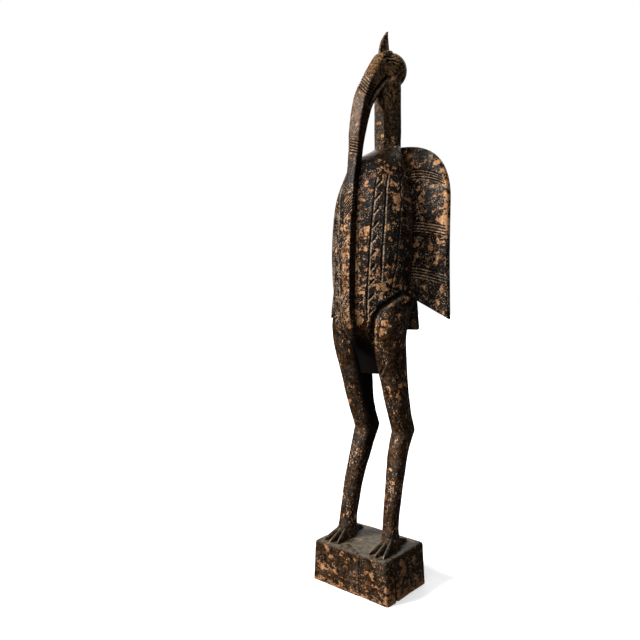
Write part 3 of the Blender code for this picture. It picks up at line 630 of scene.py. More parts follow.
def box_curve(squareness, count):
    """Points at equal steps round the curve |a|^n + |b|^n = 1, a square with soft corners."""
    turn = np.linspace(0, 2 * math.pi, 40 * count)
    power = 2 / squareness
    a = np.sign(np.cos(turn)) * np.abs(np.cos(turn)) ** power
    b = np.sign(np.sin(turn)) * np.abs(np.sin(turn)) ** power
    length = np.concatenate([[0], np.cumsum(np.hypot(np.diff(a), np.diff(b)))])
    places = np.linspace(0, length[-1], count, endpoint=False)
    return np.interp(places, length, a), np.interp(places, length, b)


def line_at(line, z):
    """How far from the middle a flank line runs at a height."""
    heights, distances = np.array(line).T
    return np.interp(z, heights, distances)


def flank_spots(x, z):
    """Points of the body's front half at distances from the middle and at heights."""
    x = np.asarray(x, dtype=float)
    z = np.asarray(z, dtype=float)
    rows = np.array(BODY)
    centre = np.interp(z, rows[:, 0], rows[:, 2])
    half = np.interp(z, rows[:, 0], rows[:, 3])
    front = np.interp(z, rows[:, 0], rows[:, 4])
    square = np.interp(z, rows[:, 0], rows[:, 6])
    share = np.minimum(np.abs(x) / half, 0.999)
    return np.stack([x, centre - front * (1 - share**square) ** (1 / square), z], axis=-1)


def flank_paths(side):
    """The three long lines down one flank."""
    paths = []
    for line in (INNER_LINE, OUTER_LINE, SIDE_LINE):
        z = np.linspace(line[0][0], line[-1][0], 60)
        paths.append(flank_spots(side * line_at(line, z), z))
    return paths


def chevron_paths(side):
    """The inner and the outer strokes of the chevrons between the two inner lines of one flank."""
    inner_strokes = []
    outer_strokes = []
    for foot in np.linspace(CHEVRON_TOP, CHEVRON_BOTTOM, CHEVRON_COUNT):
        inner = line_at(INNER_LINE, foot) + CHEVRON_GAP
        outer = line_at(OUTER_LINE, foot) - CHEVRON_GAP
        share = np.linspace(0, 0.5, 6)
        z = foot + 2 * CHEVRON_RISE * share
        inner_strokes.append(flank_spots(side * (inner + (outer - inner) * share), z))
        outer_strokes.append(flank_spots(side * (outer - (outer - inner) * share), z))
    return inner_strokes, outer_strokes


def hatch_paths():
    """The short strokes across the right flank, each rising toward the middle."""
    paths = []
    for number in range(HATCH_COUNT):
        share = np.linspace(0, 1, 5)
        x = HATCH_FROM_X + (HATCH_TO_X - HATCH_FROM_X) * share
        z = HATCH_TOP - number * HATCH_PITCH - HATCH_RISE * (1 - share)
        paths.append(flank_spots(x, z))
    return paths


def make_body():
    """The almond-shaped body, with long lines and chevrons down each flank."""
    front = np.linspace(-math.pi, 0, BODY_FRONT_COLUMNS, endpoint=False)
    back = np.linspace(0, math.pi, BODY_BACK_COLUMNS, endpoint=False)
    rings = cut_rings(smooth_rows(BODY, BODY_ROWS), np.concatenate([front, back]))
    rings = outward(rings)
    for side in (1, -1):
        inner_strokes, outer_strokes = chevron_paths(side)
        strokes = [smooth_rows(line, 20) * (side, 1, 1) for line in (SHOULDER_LINE, SHOULDER_STROKE)]
        low_stroke = smooth_rows(LOWER_STROKE, 10) * (side, 1, 1)
        inner, outer, side_line = flank_paths(side)
        rings = cut_lines(rings, [inner, outer], FLANK_LINE_WIDTH, FLANK_LINE_DEPTH)
        rings = cut_lines(rings, [side_line] + strokes, FLANK_LINE_WIDTH, FLANK_LINE_DEPTH,
                          lit=SIDE_LIT)
        rings = cut_lines(rings, [low_stroke], HATCH_WIDTH, HATCH_DEPTH, lit=SIDE_LIT)
        haunch = smooth_rows(HAUNCH_LINE, 40) * (side, 1, 1)
        rings = cut_lines(rings, [haunch], HAUNCH_WIDTH, HAUNCH_DEPTH, lit=HAUNCH_LIT)
        rings = cut_lines(rings, inner_strokes, CHEVRON_WIDTH, CHEVRON_DEPTH)
        rings = cut_lines(rings, outer_strokes, CHEVRON_WIDTH * CHEVRON_OUTER_SHARE,
                          CHEVRON_DEPTH * CHEVRON_OUTER_SHARE, lit=0.5)
    rings = cut_lines(rings, hatch_paths(), HATCH_WIDTH, HATCH_DEPTH)
    rings = cut_lines(rings, [smooth_rows(TIP_LINE, 30)], TIP_WIDTH, TIP_DEPTH)
    return closed_form("body", hewn(rings, BODY_HEWING, 1))


def make_neck():
    """The eight-sided neck.

    At turn t a facet's edge lies at cos(pi/8) / cos(t - facet middle) of the circle round the
    corners, and that share is raised to the sharpness to soften the corners.
    """
    z = np.linspace(NECK_FOOT, NECK_TOP, NECK_ROWS)[:, None]
    turn = np.linspace(0, 2 * math.pi, NECK_COLUMNS, endpoint=False)[None, :]
    half = math.pi / NECK_FACETS
    reach = (1 / np.cos((turn + half) % (2 * half) - half)) ** NECK_SHARPNESS
    bulge = NECK_SWELL * np.sin(math.pi * (z - NECK_FOOT) / (NECK_TOP - NECK_FOOT))
    x = (NECK_HALF_WIDTH + bulge) * reach * np.cos(turn)
    y = NECK_Y + (NECK_HALF_DEPTH + bulge) * reach * np.sin(turn)
    rings = outward(np.stack([x, y, z + 0 * x], axis=-1))
    return closed_form("neck", hewn(rings, NECK_HEWING, 2))


def face_paths(side):
    """The mouth line and the two lines round the eye, on one side of the head."""
    return [smooth_rows(line, 24) * (side, 1, 1) for line in (MOUTH_LINE, BROW_LINE, EYE_LINE)]


def make_head():
    """The ball of the head: a sphere, a little narrower than it is long."""
    polar = np.linspace(0.02, math.pi - 0.02, HEAD_ROWS)[:, None]
    turn = np.linspace(0, 2 * math.pi, HEAD_COLUMNS, endpoint=False)[None, :]
    x = HEAD_HALF_WIDTH * np.sin(polar) * np.cos(turn)
    y = HEAD_Y + HEAD_RADIUS * np.sin(polar) * np.sin(turn)
    z = HEAD_Z - HEAD_RADIUS * np.cos(polar) + 0 * x
    rings = outward(np.stack([x, y, z], axis=-1))
    for side in (1, -1):
        rings = cut_lines(rings, face_paths(side)[1:], FACE_LINE_WIDTH, FACE_LINE_DEPTH, "side")
    return closed_form("head", hewn(rings, HEAD_HEWING, 3))


def make_crest():
    """The upright blade on the head, its front edge curving back to the tip."""
    share = np.linspace(0, 1, CREST_ROWS)
    front = CREST_FOOT_FRONT + (CREST_TIP_Y - CREST_FOOT_FRONT) * share**CREST_FRONT_CURVE
    back = CREST_FOOT_BACK + (CREST_TIP_Y - CREST_FOOT_BACK) * share**CREST_BACK_CURVE
    reach = np.maximum((back - front) / 2, CREST_TIP_REACH)
    half = CREST_HALF_THICKNESS * (1 - (1 - CREST_TIP_SHARE) * share)
    z = CREST_FOOT + (HEIGHT - CREST_FOOT) * share
    flat = np.zeros(CREST_ROWS)
    square = np.full(CREST_ROWS, CREST_SQUARENESS)
    cuts = np.stack([z, flat, (front + back) / 2, half, reach, reach, square], axis=1)
    turns = np.linspace(0, 2 * math.pi, CREST_COLUMNS, endpoint=False)
    rings = outward(cut_rings(cuts, turns))
    return closed_form("crest", hewn(rings, CREST_HEWING, 4))


def beak_paths():
    """The bands of slanting lines across the beak's front face."""
    y, z, half_width = np.array(BEAK).T[:3]
    order = np.argsort(z)
    paths = []
    for band in BEAK_BANDS:
        for number in range(band.count):
            middle = band.z - number * band.pitch
            half = np.interp(middle, z[order], half_width[order])
            line_x = np.linspace(-half, half, 5)
            line_z = middle + band.slope * line_x
            line_y = np.interp(line_z, z[order], y[order])
            paths.append(np.stack([line_x, line_y, line_z], axis=1))
    return paths


def make_beak():
    """The long curved beak: a soft-cornered box section carried along its arch."""
    y, z, half_width, half_under, thickness = smooth_rows(BEAK, BEAK_ROWS).T[:, :, None]
    way = np.stack([np.gradient(y[:, 0]), np.gradient(z[:, 0])], axis=1)
    way /= np.linalg.norm(way, axis=1)[:, None]
    a, b = box_curve(BEAK_SQUARENESS, BEAK_COLUMNS)
    depth = (1 - b) / 2
    half = half_width + (half_under - half_width) * depth
    inward_y = way[:, [1]]
    inward_z = -way[:, [0]]
    x = half * a
    drop = thickness * depth
    rings = np.stack([x, y - inward_y * drop, z - inward_z * drop], axis=-1)
    rings = outward(rings)
    for side in (1, -1):
        mouth, brow, eye = face_paths(side)
        rings = cut_lines(rings, [mouth], MOUTH_WIDTH, MOUTH_DEPTH, "side")
        rings = cut_lines(rings, [brow, eye], FACE_LINE_WIDTH, FACE_LINE_DEPTH, "side")
    rings = cut_lines(rings, beak_paths(), BEAK_BAND_WIDTH, BEAK_BAND_DEPTH, "front", 0.7)
    return closed_form("beak", hewn(rings, BEAK_HEWING, 5))


def wing_span(z):
    """Distance from the middle to the wing's outer edge at a height.

    Below the corner the edge is straight and slightly hollow; above it the edge is the
    superellipse (x / span)^n + (rise / height of the arc)^n = 1.
    """
    share = (z - WING_TIP_Z) / (WING_CORNER - WING_TIP_Z)
    side = WING_TIP_X + (WING_SPAN - WING_TIP_X) * share - WING_HOLLOW * np.sin(math.pi * share)
    rise = np.clip((z - WING_CORNER) / (WING_SHOULDER - WING_CORNER), 0, 1)
    arc = WING_SPAN * (1 - rise**WING_ROUNDNESS) ** (1 / WING_ROUNDNESS)
    return np.maximum(np.where(z < WING_CORNER, side, arc), WING_INNER_X + 0.001)


def wing_front(x, z):
    """How far back the front face of the wing lies: it sweeps back outward and leans back."""
    return WING_FRONT_Y + WING_SWEEP * x + WING_LEAN * (z - WING_TIP_Z)


def wing_paths(side):
    """The bands of cut lines across one wing: each falls by a power of the way outward."""
    paths = []
    for inner, start, fall, curve in zip(BAND_START_X, BAND_STARTS, BAND_FALLS, BAND_CURVES):
        for number in range(BAND_LINES):
            share = np.linspace(0, 1, 24)
            top = start - number * BAND_PITCH
            x = inner + (wing_span(top) - inner) * share
            z = top - fall * share**curve
            paths.append(np.stack([side * x, wing_front(x, z), z], axis=1))
    return paths


def make_wing(name, side, seed):
    """A wing: rows across the slab, each going out along its front and home along its back."""
    straight = np.linspace(WING_TIP_Z, WING_CORNER, WING_SIDE_ROWS, endpoint=False)
    arc = np.sin(np.linspace(0, math.pi / 2, WING_ARC_ROWS))
    level = np.concatenate([straight, WING_CORNER + (WING_SHOULDER - WING_CORNER) * arc])[:, None]
    out = np.linspace(0, 1, WING_FRONT_COLUMNS)
    home = np.linspace(1, 0, WING_BACK_COLUMNS + 1)[1:]
    step = np.concatenate([out, home])[None, :]
    share = 0.5 * step + 0.5 * np.sin(math.pi / 2 * step)
    fade = np.clip(1 - (level - WING_TIP_Z) / WING_SLANT_REACH, 0, 1)
    z = level + (WING_INNER_Z - WING_TIP_Z) * (1 - share) * fade
    span = wing_span(z)
    x = WING_INNER_X + (span - WING_INNER_X) * share
    slope = (wing_span(z + 0.0005) - wing_span(z - 0.0005)) / 0.001
    from_rim = (span - x) / np.sqrt(1 + slope**2)
    from_foot = level - WING_TIP_Z
    edge = np.clip(np.minimum(from_rim, from_foot + 0.001) / WING_RIM, 0, 1)
    roundness = np.sqrt(1 - (1 - edge)**2)
    outer = (x - WING_INNER_X) / (WING_TIP_X - WING_INNER_X)
    half = (WING_THICKNESS_ROOT + (WING_THICKNESS_EDGE - WING_THICKNESS_ROOT) * outer) / 2
    facing = np.where(np.arange(step.shape[1]) < WING_FRONT_COLUMNS, -1, 1)
    y = wing_front(x, z) + half + facing * half * roundness
    rings = outward(np.stack([side * x, y, z], axis=-1))
    rings = cut_lines(rings, wing_paths(side), BAND_LINE_WIDTH, BAND_LINE_DEPTH)
    return closed_form(name, hewn(rings, WING_HEWING, seed))


def make_tail():
    """The tail plate: a soft-cornered box section, wider below and thinned along its bottom."""
    share = np.linspace(0, 1, TAIL_ROWS)[:, None]
    a, b = box_curve(TAIL_SQUARENESS, TAIL_COLUMNS)
    z = TAIL_BOTTOM_Z + (TAIL_TOP_Z - TAIL_BOTTOM_Z) * share
    edge = np.clip((z - TAIL_BOTTOM_Z + 0.0004) / TAIL_ROUNDING, 0, 1)
    roundness = np.sqrt(1 - (1 - edge)**2)
    half = TAIL_HALF_BOTTOM + (TAIL_HALF_TOP - TAIL_HALF_BOTTOM) * share
    front = TAIL_FRONT_BOTTOM + (TAIL_FRONT_TOP - TAIL_FRONT_BOTTOM) * share
    middle = (front + TAIL_BACK_Y) / 2
    depth = (TAIL_BACK_Y - front) / 2 * roundness
    x = (half - TAIL_ROUNDING * (1 - roundness)) * a
    rings = outward(np.stack([x, middle + depth * b, z + 0 * x], axis=-1))
    return closed_form("tail", hewn(rings, TAIL_HEWING, 8))


def make_leg(name, side, fullness, seed):
    """A leg, from the top of the block past the knee into the flank."""
    cuts = smooth_rows(LEG, LEG_ROWS)
    grown = np.interp(cuts[:, 0], (KNEE_HEIGHT, THIGH_MIDDLE, HAUNCH_HEIGHT), fullness)
    cuts[:, 1] *= side
    cuts[:, 3:6] *= grown[:, None]
    turns = np.linspace(0, 2 * math.pi, LEG_COLUMNS, endpoint=False)
    rings = outward(cut_rings(cuts, turns))
    haunch = smooth_rows(HAUNCH_LINE, 40) * (side, 1, 1)
    rings = cut_lines(rings, [haunch], HAUNCH_WIDTH, HAUNCH_DEPTH, lit=HAUNCH_LIT)
    notch = smooth_rows(NOTCH_LINE, 12) * (side, 1, 1)
    rings = cut_lines(rings, [notch], NOTCH_WIDTH, NOTCH_DEPTH, lit=NOTCH_LIT)
    return closed_form(name, hewn(rings, LEG_HEWING, seed))


def make_toe(name, root, tip, rise):
    """A toe: an arched ridge that falls from the ankle to its tip on the block.

    Across the ridge its height is crown * sin(t)^arch, for t from 0 to pi.
    """
    root = np.array(root)
    way = np.array(tip) - root
    side = np.array([-way[1], way[0]]) / np.linalg.norm(way)
    share = np.linspace(0, 1, TOE_ROWS)[:, None]
    blunt = np.sqrt(1 - TOE_BLUNTNESS * share**4)
    crown = TOE_SINK + TOE_TIP_HEIGHT * blunt + rise * (1 - share) ** TOE_FALL
    turn = np.linspace(0, math.pi, TOE_COLUMNS)[None, :]
    across = TOE_HALF_WIDTH * blunt * np.cos(turn)
    x = root[0] + way[0] * share + side[0] * across
    y = root[1] + way[1] * share + side[1] * across
    z = BLOCK_HEIGHT - TOE_SINK + crown * np.abs(np.sin(turn)) ** TOE_ARCH
    return closed_form(name, outward(np.stack([x, y, z], axis=-1)))


def make_toes(side_name, side):
    """One foot's toes: three in front and one behind."""
    toes = []
    for number in (-1, 0, 1):
        root = (side * (TOE_ROOT_X + number * TOE_ROOT_SPREAD), TOE_ROOT_Y)
        tip = (side * (TOE_ROOT_X + number * TOE_TIP_SPREAD), TOE_TIP_Y + abs(number) * TOE_SHORTER)
        toes.append(make_toe(f"{side_name}_toe_{number + 2}", root, tip, TOE_RISE))
    heel_root = (side * TOE_ROOT_X, HEEL_ROOT_Y)
    heel_tip = (side * TOE_ROOT_X, HEEL_TIP_Y)
    toes.append(make_toe(side_name + "_heel_toe", heel_root, heel_tip, HEEL_RISE))
    return toes


def rectangle_curve(half_x, half_y, radius, count):
    """Points at equal steps round a rectangle with round corners."""
    corners = []
    for quarter, (sign_x, sign_y) in enumerate(((1, 1), (-1, 1), (-1, -1), (1, -1))):
        turn = np.linspace(0, math.pi / 2, 12) + quarter * math.pi / 2
        corners.append(np.stack([sign_x * (half_x - radius) + radius * np.cos(turn),
                                 sign_y * (half_y - radius) + radius * np.sin(turn)], axis=1))
    outline = np.concatenate(corners + [corners[0][:1]])
    length = np.concatenate([[0], np.cumsum(np.linalg.norm(np.diff(outline, axis=0), axis=1))])
    places = np.linspace(0, length[-1], count, endpoint=False)
    return np.interp(places, length, outline[:, 0]), np.interp(places, length, outline[:, 1])


def make_block():
    """The block: a round-cornered rectangle carried in from below, up the sides and over the top."""
    cap = np.linspace(0.02, 1, BLOCK_CAP_ROWS)
    turn = np.linspace(0, math.pi / 2, 8)
    rise = np.linspace(0, 1, BLOCK_SIDE_ROWS)
    side_z = rise * (BLOCK_HEIGHT - BLOCK_EDGE)
    edge_z = BLOCK_HEIGHT - BLOCK_EDGE + BLOCK_EDGE * np.sin(turn[1:])
    edge_in = BLOCK_EDGE * (1 - np.cos(turn[1:]))
    z = np.concatenate([0 * cap[:-1], side_z, edge_z, BLOCK_HEIGHT + 0 * cap[:-1]])
    inset = np.concatenate([0 * cap[:-1], 0 * side_z, edge_in, edge_in[-1] + 0 * cap[:-1]])
    scale = np.concatenate([cap[:-1], 1 + 0 * side_z, 1 + 0 * edge_in, cap[:-1][::-1]])
    share = z / BLOCK_HEIGHT
    half_x = (BLOCK_WIDTH_BELOW + (BLOCK_WIDTH_ABOVE - BLOCK_WIDTH_BELOW) * share) / 2 - inset
    half_y = (BLOCK_DEPTH_BELOW + (BLOCK_DEPTH_ABOVE - BLOCK_DEPTH_BELOW) * share) / 2 - inset
    unit_x, unit_y = rectangle_curve(BLOCK_WIDTH_BELOW / 2, BLOCK_DEPTH_BELOW / 2, BLOCK_CORNER,
                                     BLOCK_COLUMNS)
    x = BLOCK_OFFSET + (half_x * scale)[:, None] * unit_x / (BLOCK_WIDTH_BELOW / 2)
    y = (half_y * scale)[:, None] * unit_y / (BLOCK_DEPTH_BELOW / 2)
    rings = outward(np.stack([x, y, z[:, None] + 0 * x], axis=-1))
    for split in SPLITS:
        z = np.linspace(-0.001, split.top, 14)
        wander = SPLIT_WANDER * np.sin(90 * z + 40 * split.x)
        path = np.stack([split.x + wander, split.y + 0.5 * wander, z], axis=1)
        rings = cut_lines(rings, [path], split.width, split.depth, lit=SPLIT_LIT)
    rings = hewn(rings, BLOCK_HEWING, 9)
    rings[..., 2] = np.maximum(rings[..., 2], 0)
    return closed_form("block", rings)


def join_forms(forms, name):
    """One closed piece: the union of the forms."""
    whole = forms[0]
    collection = bpy.context.scene.collection
    collection.objects.link(whole)
    for form in forms[1:]:
        collection.objects.link(form)
        modifier = whole.modifiers.new(form.name, "BOOLEAN")
        modifier.operation = "UNION"
        modifier.solver = "MANIFOLD"
        modifier.object = form
    depsgraph = bpy.context.evaluated_depsgraph_get()
    mesh = bpy.data.meshes.new_from_object(whole.evaluated_get(depsgraph))
    for form in forms:
        bpy.data.objects.remove(form, do_unlink=True)
    piece = bpy.data.objects.new(name, mesh)
    mesh.name = name
    collection.objects.link(piece)
    return piece


def thin_out(piece, most):
    """Collapses the flattest parts of a piece's mesh until it has at most so many triangles."""
    triangles = sum(len(face.vertices) - 2 for face in piece.data.polygons)
    if triangles > most:
        modifier = piece.modifiers.new("thin_out", "DECIMATE")
        modifier.ratio = most / triangles
        depsgraph = bpy.context.evaluated_depsgraph_get()
        mesh = bpy.data.meshes.new_from_object(piece.evaluated_get(depsgraph))
        piece.modifiers.clear()
        piece.data = mesh


def vertex_arrays(mesh):
    """Places, normals and edges of a mesh as arrays."""
    places = np.empty(3 * len(mesh.vertices))
    mesh.vertices.foreach_get("co", places)
    normals = np.empty(3 * len(mesh.vertices))
    mesh.vertices.foreach_get("normal", normals)
    edges = np.empty(2 * len(mesh.edges), dtype=np.int32)
    mesh.edges.foreach_get("vertices", edges)
    return places.reshape(-1, 3), normals.reshape(-1, 3), edges.reshape(-1, 2)


def bend(places, normals, edges):
    """How sharply the surface bends at each vertex, in 1/m, above zero where it stands out.

    Along an edge from p to q with the normal n at p, it bends by -2 (q - p) . n / |q - p|^2.
    """
    total = np.zeros(len(places))
    count = np.zeros(len(places))
    for start, end in (edges.T, edges.T[::-1]):
        run = places[end] - places[start]
        square = np.maximum((run**2).sum(axis=1), 1e-8)
        total += np.bincount(start, -2 * (run * normals[start]).sum(axis=1) / square, len(places))
        count += np.bincount(start, minlength=len(places))
    bent = total / np.maximum(count, 1)
    shared = bent.copy()
    for start, end in (edges.T, edges.T[::-1]):
        shared += np.bincount(start, bent[end], len(places))
    return shared / (count + 1)


def keep_inside(mesh):
    """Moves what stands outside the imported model's box back onto its faces."""
    places = np.empty(3 * len(mesh.vertices))
    mesh.vertices.foreach_get("co", places)
    places = np.clip(places.reshape(-1, 3), CAD_BOX[0], CAD_BOX[1])
    mesh.vertices.foreach_set("co", places.ravel())
    mesh.update()


def smooth_step(low, high, value):
    """0 below low, 1 above high, and 3 t^2 - 2 t^3 between them."""
    t = np.clip((value - low) / (high - low), 0, 1)
    return t * t * (3 - 2 * t)


def add_values(mesh, name, values):
    """Stores one number for each vertex under a name that materials can read."""
    attribute = mesh.attributes.new(name, "FLOAT", "POINT")
    attribute.data.foreach_set("value", values.astype(np.float32))


def drawn_height(z):
    """Height as the flaking sees it: squeezed on the block, drawn out on the legs, plain above."""
    low = np.minimum(z, BLOCK_HEIGHT)
    middle = np.clip(z - BLOCK_HEIGHT, 0, LEG_TOP - BLOCK_HEIGHT)
    return BLOCK_SQUEEZE * low + LEG_SQUEEZE * middle + np.maximum(z - LEG_TOP, 0)


def line_marks(places):
    """How deep in a cut line each point lies, for its dirt and painted shade, and how far it is up
    the edge that faces the light, for a painted highlight.
    """
    hollow = np.zeros(len(places))
    ridge = np.zeros(len(places))
    for line in carved_lines:
        near, gap, away = near_path(places, line.path, 1.3 * line.width, line.seen)
        share = gap / line.width
        hollow[near] = np.maximum(hollow[near], smooth_step(0.48, 0.15, share))
        # Painted highlight: the wall of each line that faces the key light, from the camera's left and
        # above
        beside = smooth_step(0.32, 0.5, share) * smooth_step(1.15, 0.75, share)
        sideways = (away[:, 0] - 0.5 * away[:, 2]) / np.maximum(gap, 1e-6)
        beside *= line.lit * smooth_step(-0.1, 0.5, sideways)
        ridge[near] = np.maximum(ridge[near], beside)
    return hollow, ridge


def side_patches(places):
    """The most that any patch seen from the side gives at each point, as in patch_group."""
    most = np.zeros(len(places))
    ragged = SIDE_RAGGED * swell(places, SIDE_RAGGED_SIZE, 21)
    for y, z, radius in SIDE_PATCHES:
        share = np.hypot(places[:, 1] - y, places[:, 2] - z) / radius
        most = np.maximum(most, np.clip(PATCH_REACH - share + ragged, 0, 1) * (share < 2))
    return most


def wear_zones(places, normals, edges):
    """How far each vertex lies in each zone, from 0 to 1, by name: zones that wear in their own way,
    and zones that carry painted shade or painted highlights.
    """
    x, y, z = places.T
    side, _, up = normals.T
    out = np.abs(x)
    bent = bend(places, normals, edges)
    hollow, ridge = line_marks(places)
    above_block = smooth_step(BLOCK_HEIGHT, BLOCK_HEIGHT + 0.01, z)
    block = smooth_step(BLOCK_HEIGHT + 0.006, BLOCK_HEIGHT - 0.002, z)
    on_beak = smooth_step(0.0225, 0.019, out)
    on_wing = smooth_step(0.045, 0.05, y) * smooth_step(WING_TIP_Z, WING_TIP_Z + 0.01, z)
    on_wing *= smooth_step(0.944, 0.936, z) * smooth_step(0.045, 0.06, out)
    wing_rim = on_wing * smooth_step(0.013, 0.005, wing_span(z) - out)
    wing_rim *= smooth_step(0.9, 0.86, z) * smooth_step(0.70, 0.75, z)
    low_beak = on_beak * smooth_step(-0.03, -0.05, y) * smooth_step(0.52, 0.56, z)
    low_beak *= smooth_step(0.86, 0.80, z)
    beak_side = smooth_step(0.5, 0.8, np.abs(side)) * on_beak
    beak_side *= smooth_step(0.0, -0.02, y) * smooth_step(0.53, 0.56, z)
    far_flank = smooth_step(-0.012, -0.024, x) * smooth_step(0.02, -0.02, y)
    head = smooth_step(0.96, 1.05, z) * smooth_step(-0.03, 0.02, y)
    shoulder = smooth_step(0.86, 0.91, z) * smooth_step(0.07, 0.05, out)
    toe = smooth_step(0.128, 0.115, z) * above_block * smooth_step(-0.018, -0.026, y)
    dust = smooth_step(0.6, 0.95, up) * smooth_step(0.13, 0.10, z)
    # hollow (the cut lines, with their dirt), crease, between, beak_side and toe_gap carry painted
    # shade; ridge carries painted highlights
    return {
        "hollow": hollow,
        "ridge": ridge,
        "crease": smooth_step(60, 260, -bent),
        "rim": smooth_step(90, 300, bent),
        "under": smooth_step(-0.2, -0.7, up),
        "sides": side_patches(places) * smooth_step(0.5, 0.8, side),
        "leg": smooth_step(0.60, 0.52, z) * above_block,
        "shin": smooth_step(0.36, 0.30, z) * above_block,
        "ankle": smooth_step(0.24, 0.18, z) * above_block,
        "between": smooth_step(0.034, 0.022, out) * smooth_step(0.545, 0.500, z) * above_block,
        "toe": toe,
        "toe_gap": toe * smooth_step(0.45, 0.10, up),
        "dust": np.maximum(dust, toe * smooth_step(0.1, 0.6, up)),
        "block": block,
        "block_side": block * smooth_step(0.084, 0.090, x),
        "block_edge": block * smooth_step(BLOCK_HEIGHT - 0.014, BLOCK_HEIGHT - 0.004, z),
        "foot": block * smooth_step(0.012, 0.004, z),
        "on_wing": on_wing,
        "wing_rim": wing_rim,
        "wing_foot": on_wing * smooth_step(0.67, 0.64, z),
        "far_flank": far_flank * smooth_step(0.52, 0.56, z),
        "high_beak": on_beak * smooth_step(0.88, 0.92, z) * smooth_step(0.03, 0.0, y),
        "low_beak": low_beak,
        "beak_side": beak_side,
        "shoulder": shoulder,
        "neck": smooth_step(0.92, 0.95, z) * smooth_step(0.0, 0.03, y),
        "head": head,
        "calm": np.maximum(head, shoulder),
        "crest_back": smooth_step(1.13, 1.14, z) * smooth_step(0.054, 0.060, y),
        "crest_tip": smooth_step(1.160, 1.175, z),
    }


def most_of(zones, **shares):
    """At each vertex the most that any of the named zones gives, each times its share."""
    return np.max([share * zones[name] for name, share in shares.items()], axis=0)


def sum_of(zones, shares):
    """At each vertex the sum of the named zones, each times its share."""
    return sum(share * zones[name] for name, share in shares.items())


def add_wear(mesh):
    """Stores on the whole piece where it is worn, cut, speckled, dusty or browned, where its edges
    wear pale, and where painted shade and painted highlights go.
    """
    places, normals, edges = vertex_arrays(mesh)
    zones = wear_zones(places, normals, edges)
    brown = sum_of(zones, {"leg": 0.10, "neck": 0.30, "block": 0.10})
    red = sum_of(zones, {"leg": 0.45, "block": 0.25})
    values = {
        "worn": sum_of(zones, WORN_SHARES),
        # Dark in the cut lines from dirt and painted shade, and painted shade in creases, between the
        # legs, on the beak's sides and between the toes
        "hollow": most_of(zones, hollow=1.0, crease=0.75, between=1.0, beak_side=0.6, toe_gap=0.6),
        # Pale at sharp edges from wear, and painted highlights on the lit edge of each cut line
        "rubbed": most_of(zones, rim=0.7, ridge=0.8),
        "dust": zones["dust"],
        "brown": np.clip(np.maximum(most_of(zones, head=1.0, shoulder=0.35), brown), 0, 1),
        "red": np.maximum(most_of(zones, high_beak=1.0, low_beak=0.5), red),
        "rust": zones["block"],
        "speckled": SPECKLED + sum_of(zones, SPECKLED_SHARES),
        "drawn": drawn_height(places[:, 2]),
    }
    for name, value in values.items():
        add_values(mesh, name, value)


def add_node(tree, kind, inputs=None, **settings):
    """Adds a node with the given settings, its inputs given as values or as sockets to link."""
    made = tree.nodes.new(kind)
    for name, value in settings.items():
        setattr(made, name, value)
    for key, value in (inputs or {}).items():
        if isinstance(value, bpy.types.NodeSocket):
            tree.links.new(value, made.inputs[key])
        else:
            made.inputs[key].default_value = value
    return made


def new_group(name, inputs, outputs):
    """A node group with float inputs, except those named Vector, and float outputs."""
    tree = bpy.data.node_groups.new(name, "ShaderNodeTree")
    for label in inputs:
        kind = "NodeSocketVector" if label == "Vector" else "NodeSocketFloat"
        tree.interface.new_socket(name=label, in_out="INPUT", socket_type=kind)
    for label in outputs:
        tree.interface.new_socket(name=label, in_out="OUTPUT", socket_type="NodeSocketFloat")
    return tree, tree.nodes.new("NodeGroupInput"), tree.nodes.new("NodeGroupOutput")


def math_node(tree, operation, first, second=0.0, third=0.0):
    """The output of a Math node."""
    made = add_node(tree, "ShaderNodeMath", {0: first, 1: second, 2: third}, operation=operation)
    return made.outputs[0]


def times(tree, *factors):
    """The product of two or more values."""
    product = factors[0]
    for factor in factors[1:]:
        product = math_node(tree, "MULTIPLY", product, factor)
    return product


def step_node(tree, value, low, high):
    """The output of a smooth step from 0 at low to 1 at high."""
    made = add_node(tree, "ShaderNodeMapRange", {"Value": value, "From Min": low, "From Max": high},
                    interpolation_type="SMOOTHSTEP")
    return made.outputs["Result"]


def noise_node(tree, vector, scale, detail, roughness=0.5, distortion=0.0):
    """The output of a Noise Texture."""
    made = add_node(tree, "ShaderNodeTexNoise", {"Vector": vector, "Scale": scale, "Detail": detail,
                                                 "Roughness": roughness, "Distortion": distortion})
    return made.outputs["Fac"]


def blotches(tree, vector, scale, roughness, low, high, detail=4.0):
    """Noise as a mask: a smooth step from 0 where it is low to 1 where it is high."""
    return step_node(tree, noise_node(tree, vector, scale, detail, roughness), low, high)


def mix_node(tree, factor, first, second):
    """The output of a colour Mix node."""
    made = tree.nodes.new("ShaderNodeMix")
    made.data_type = "RGBA"
    sockets = {"Factor_Float": factor, "A_Color": first, "B_Color": second}
    for socket in made.inputs:
        if socket.identifier in sockets:
            value = sockets[socket.identifier]
            if isinstance(value, bpy.types.NodeSocket):
                tree.links.new(value, socket)
            else:
                socket.default_value = value
    return [socket for socket in made.outputs if socket.identifier == "Result_Color"][0]


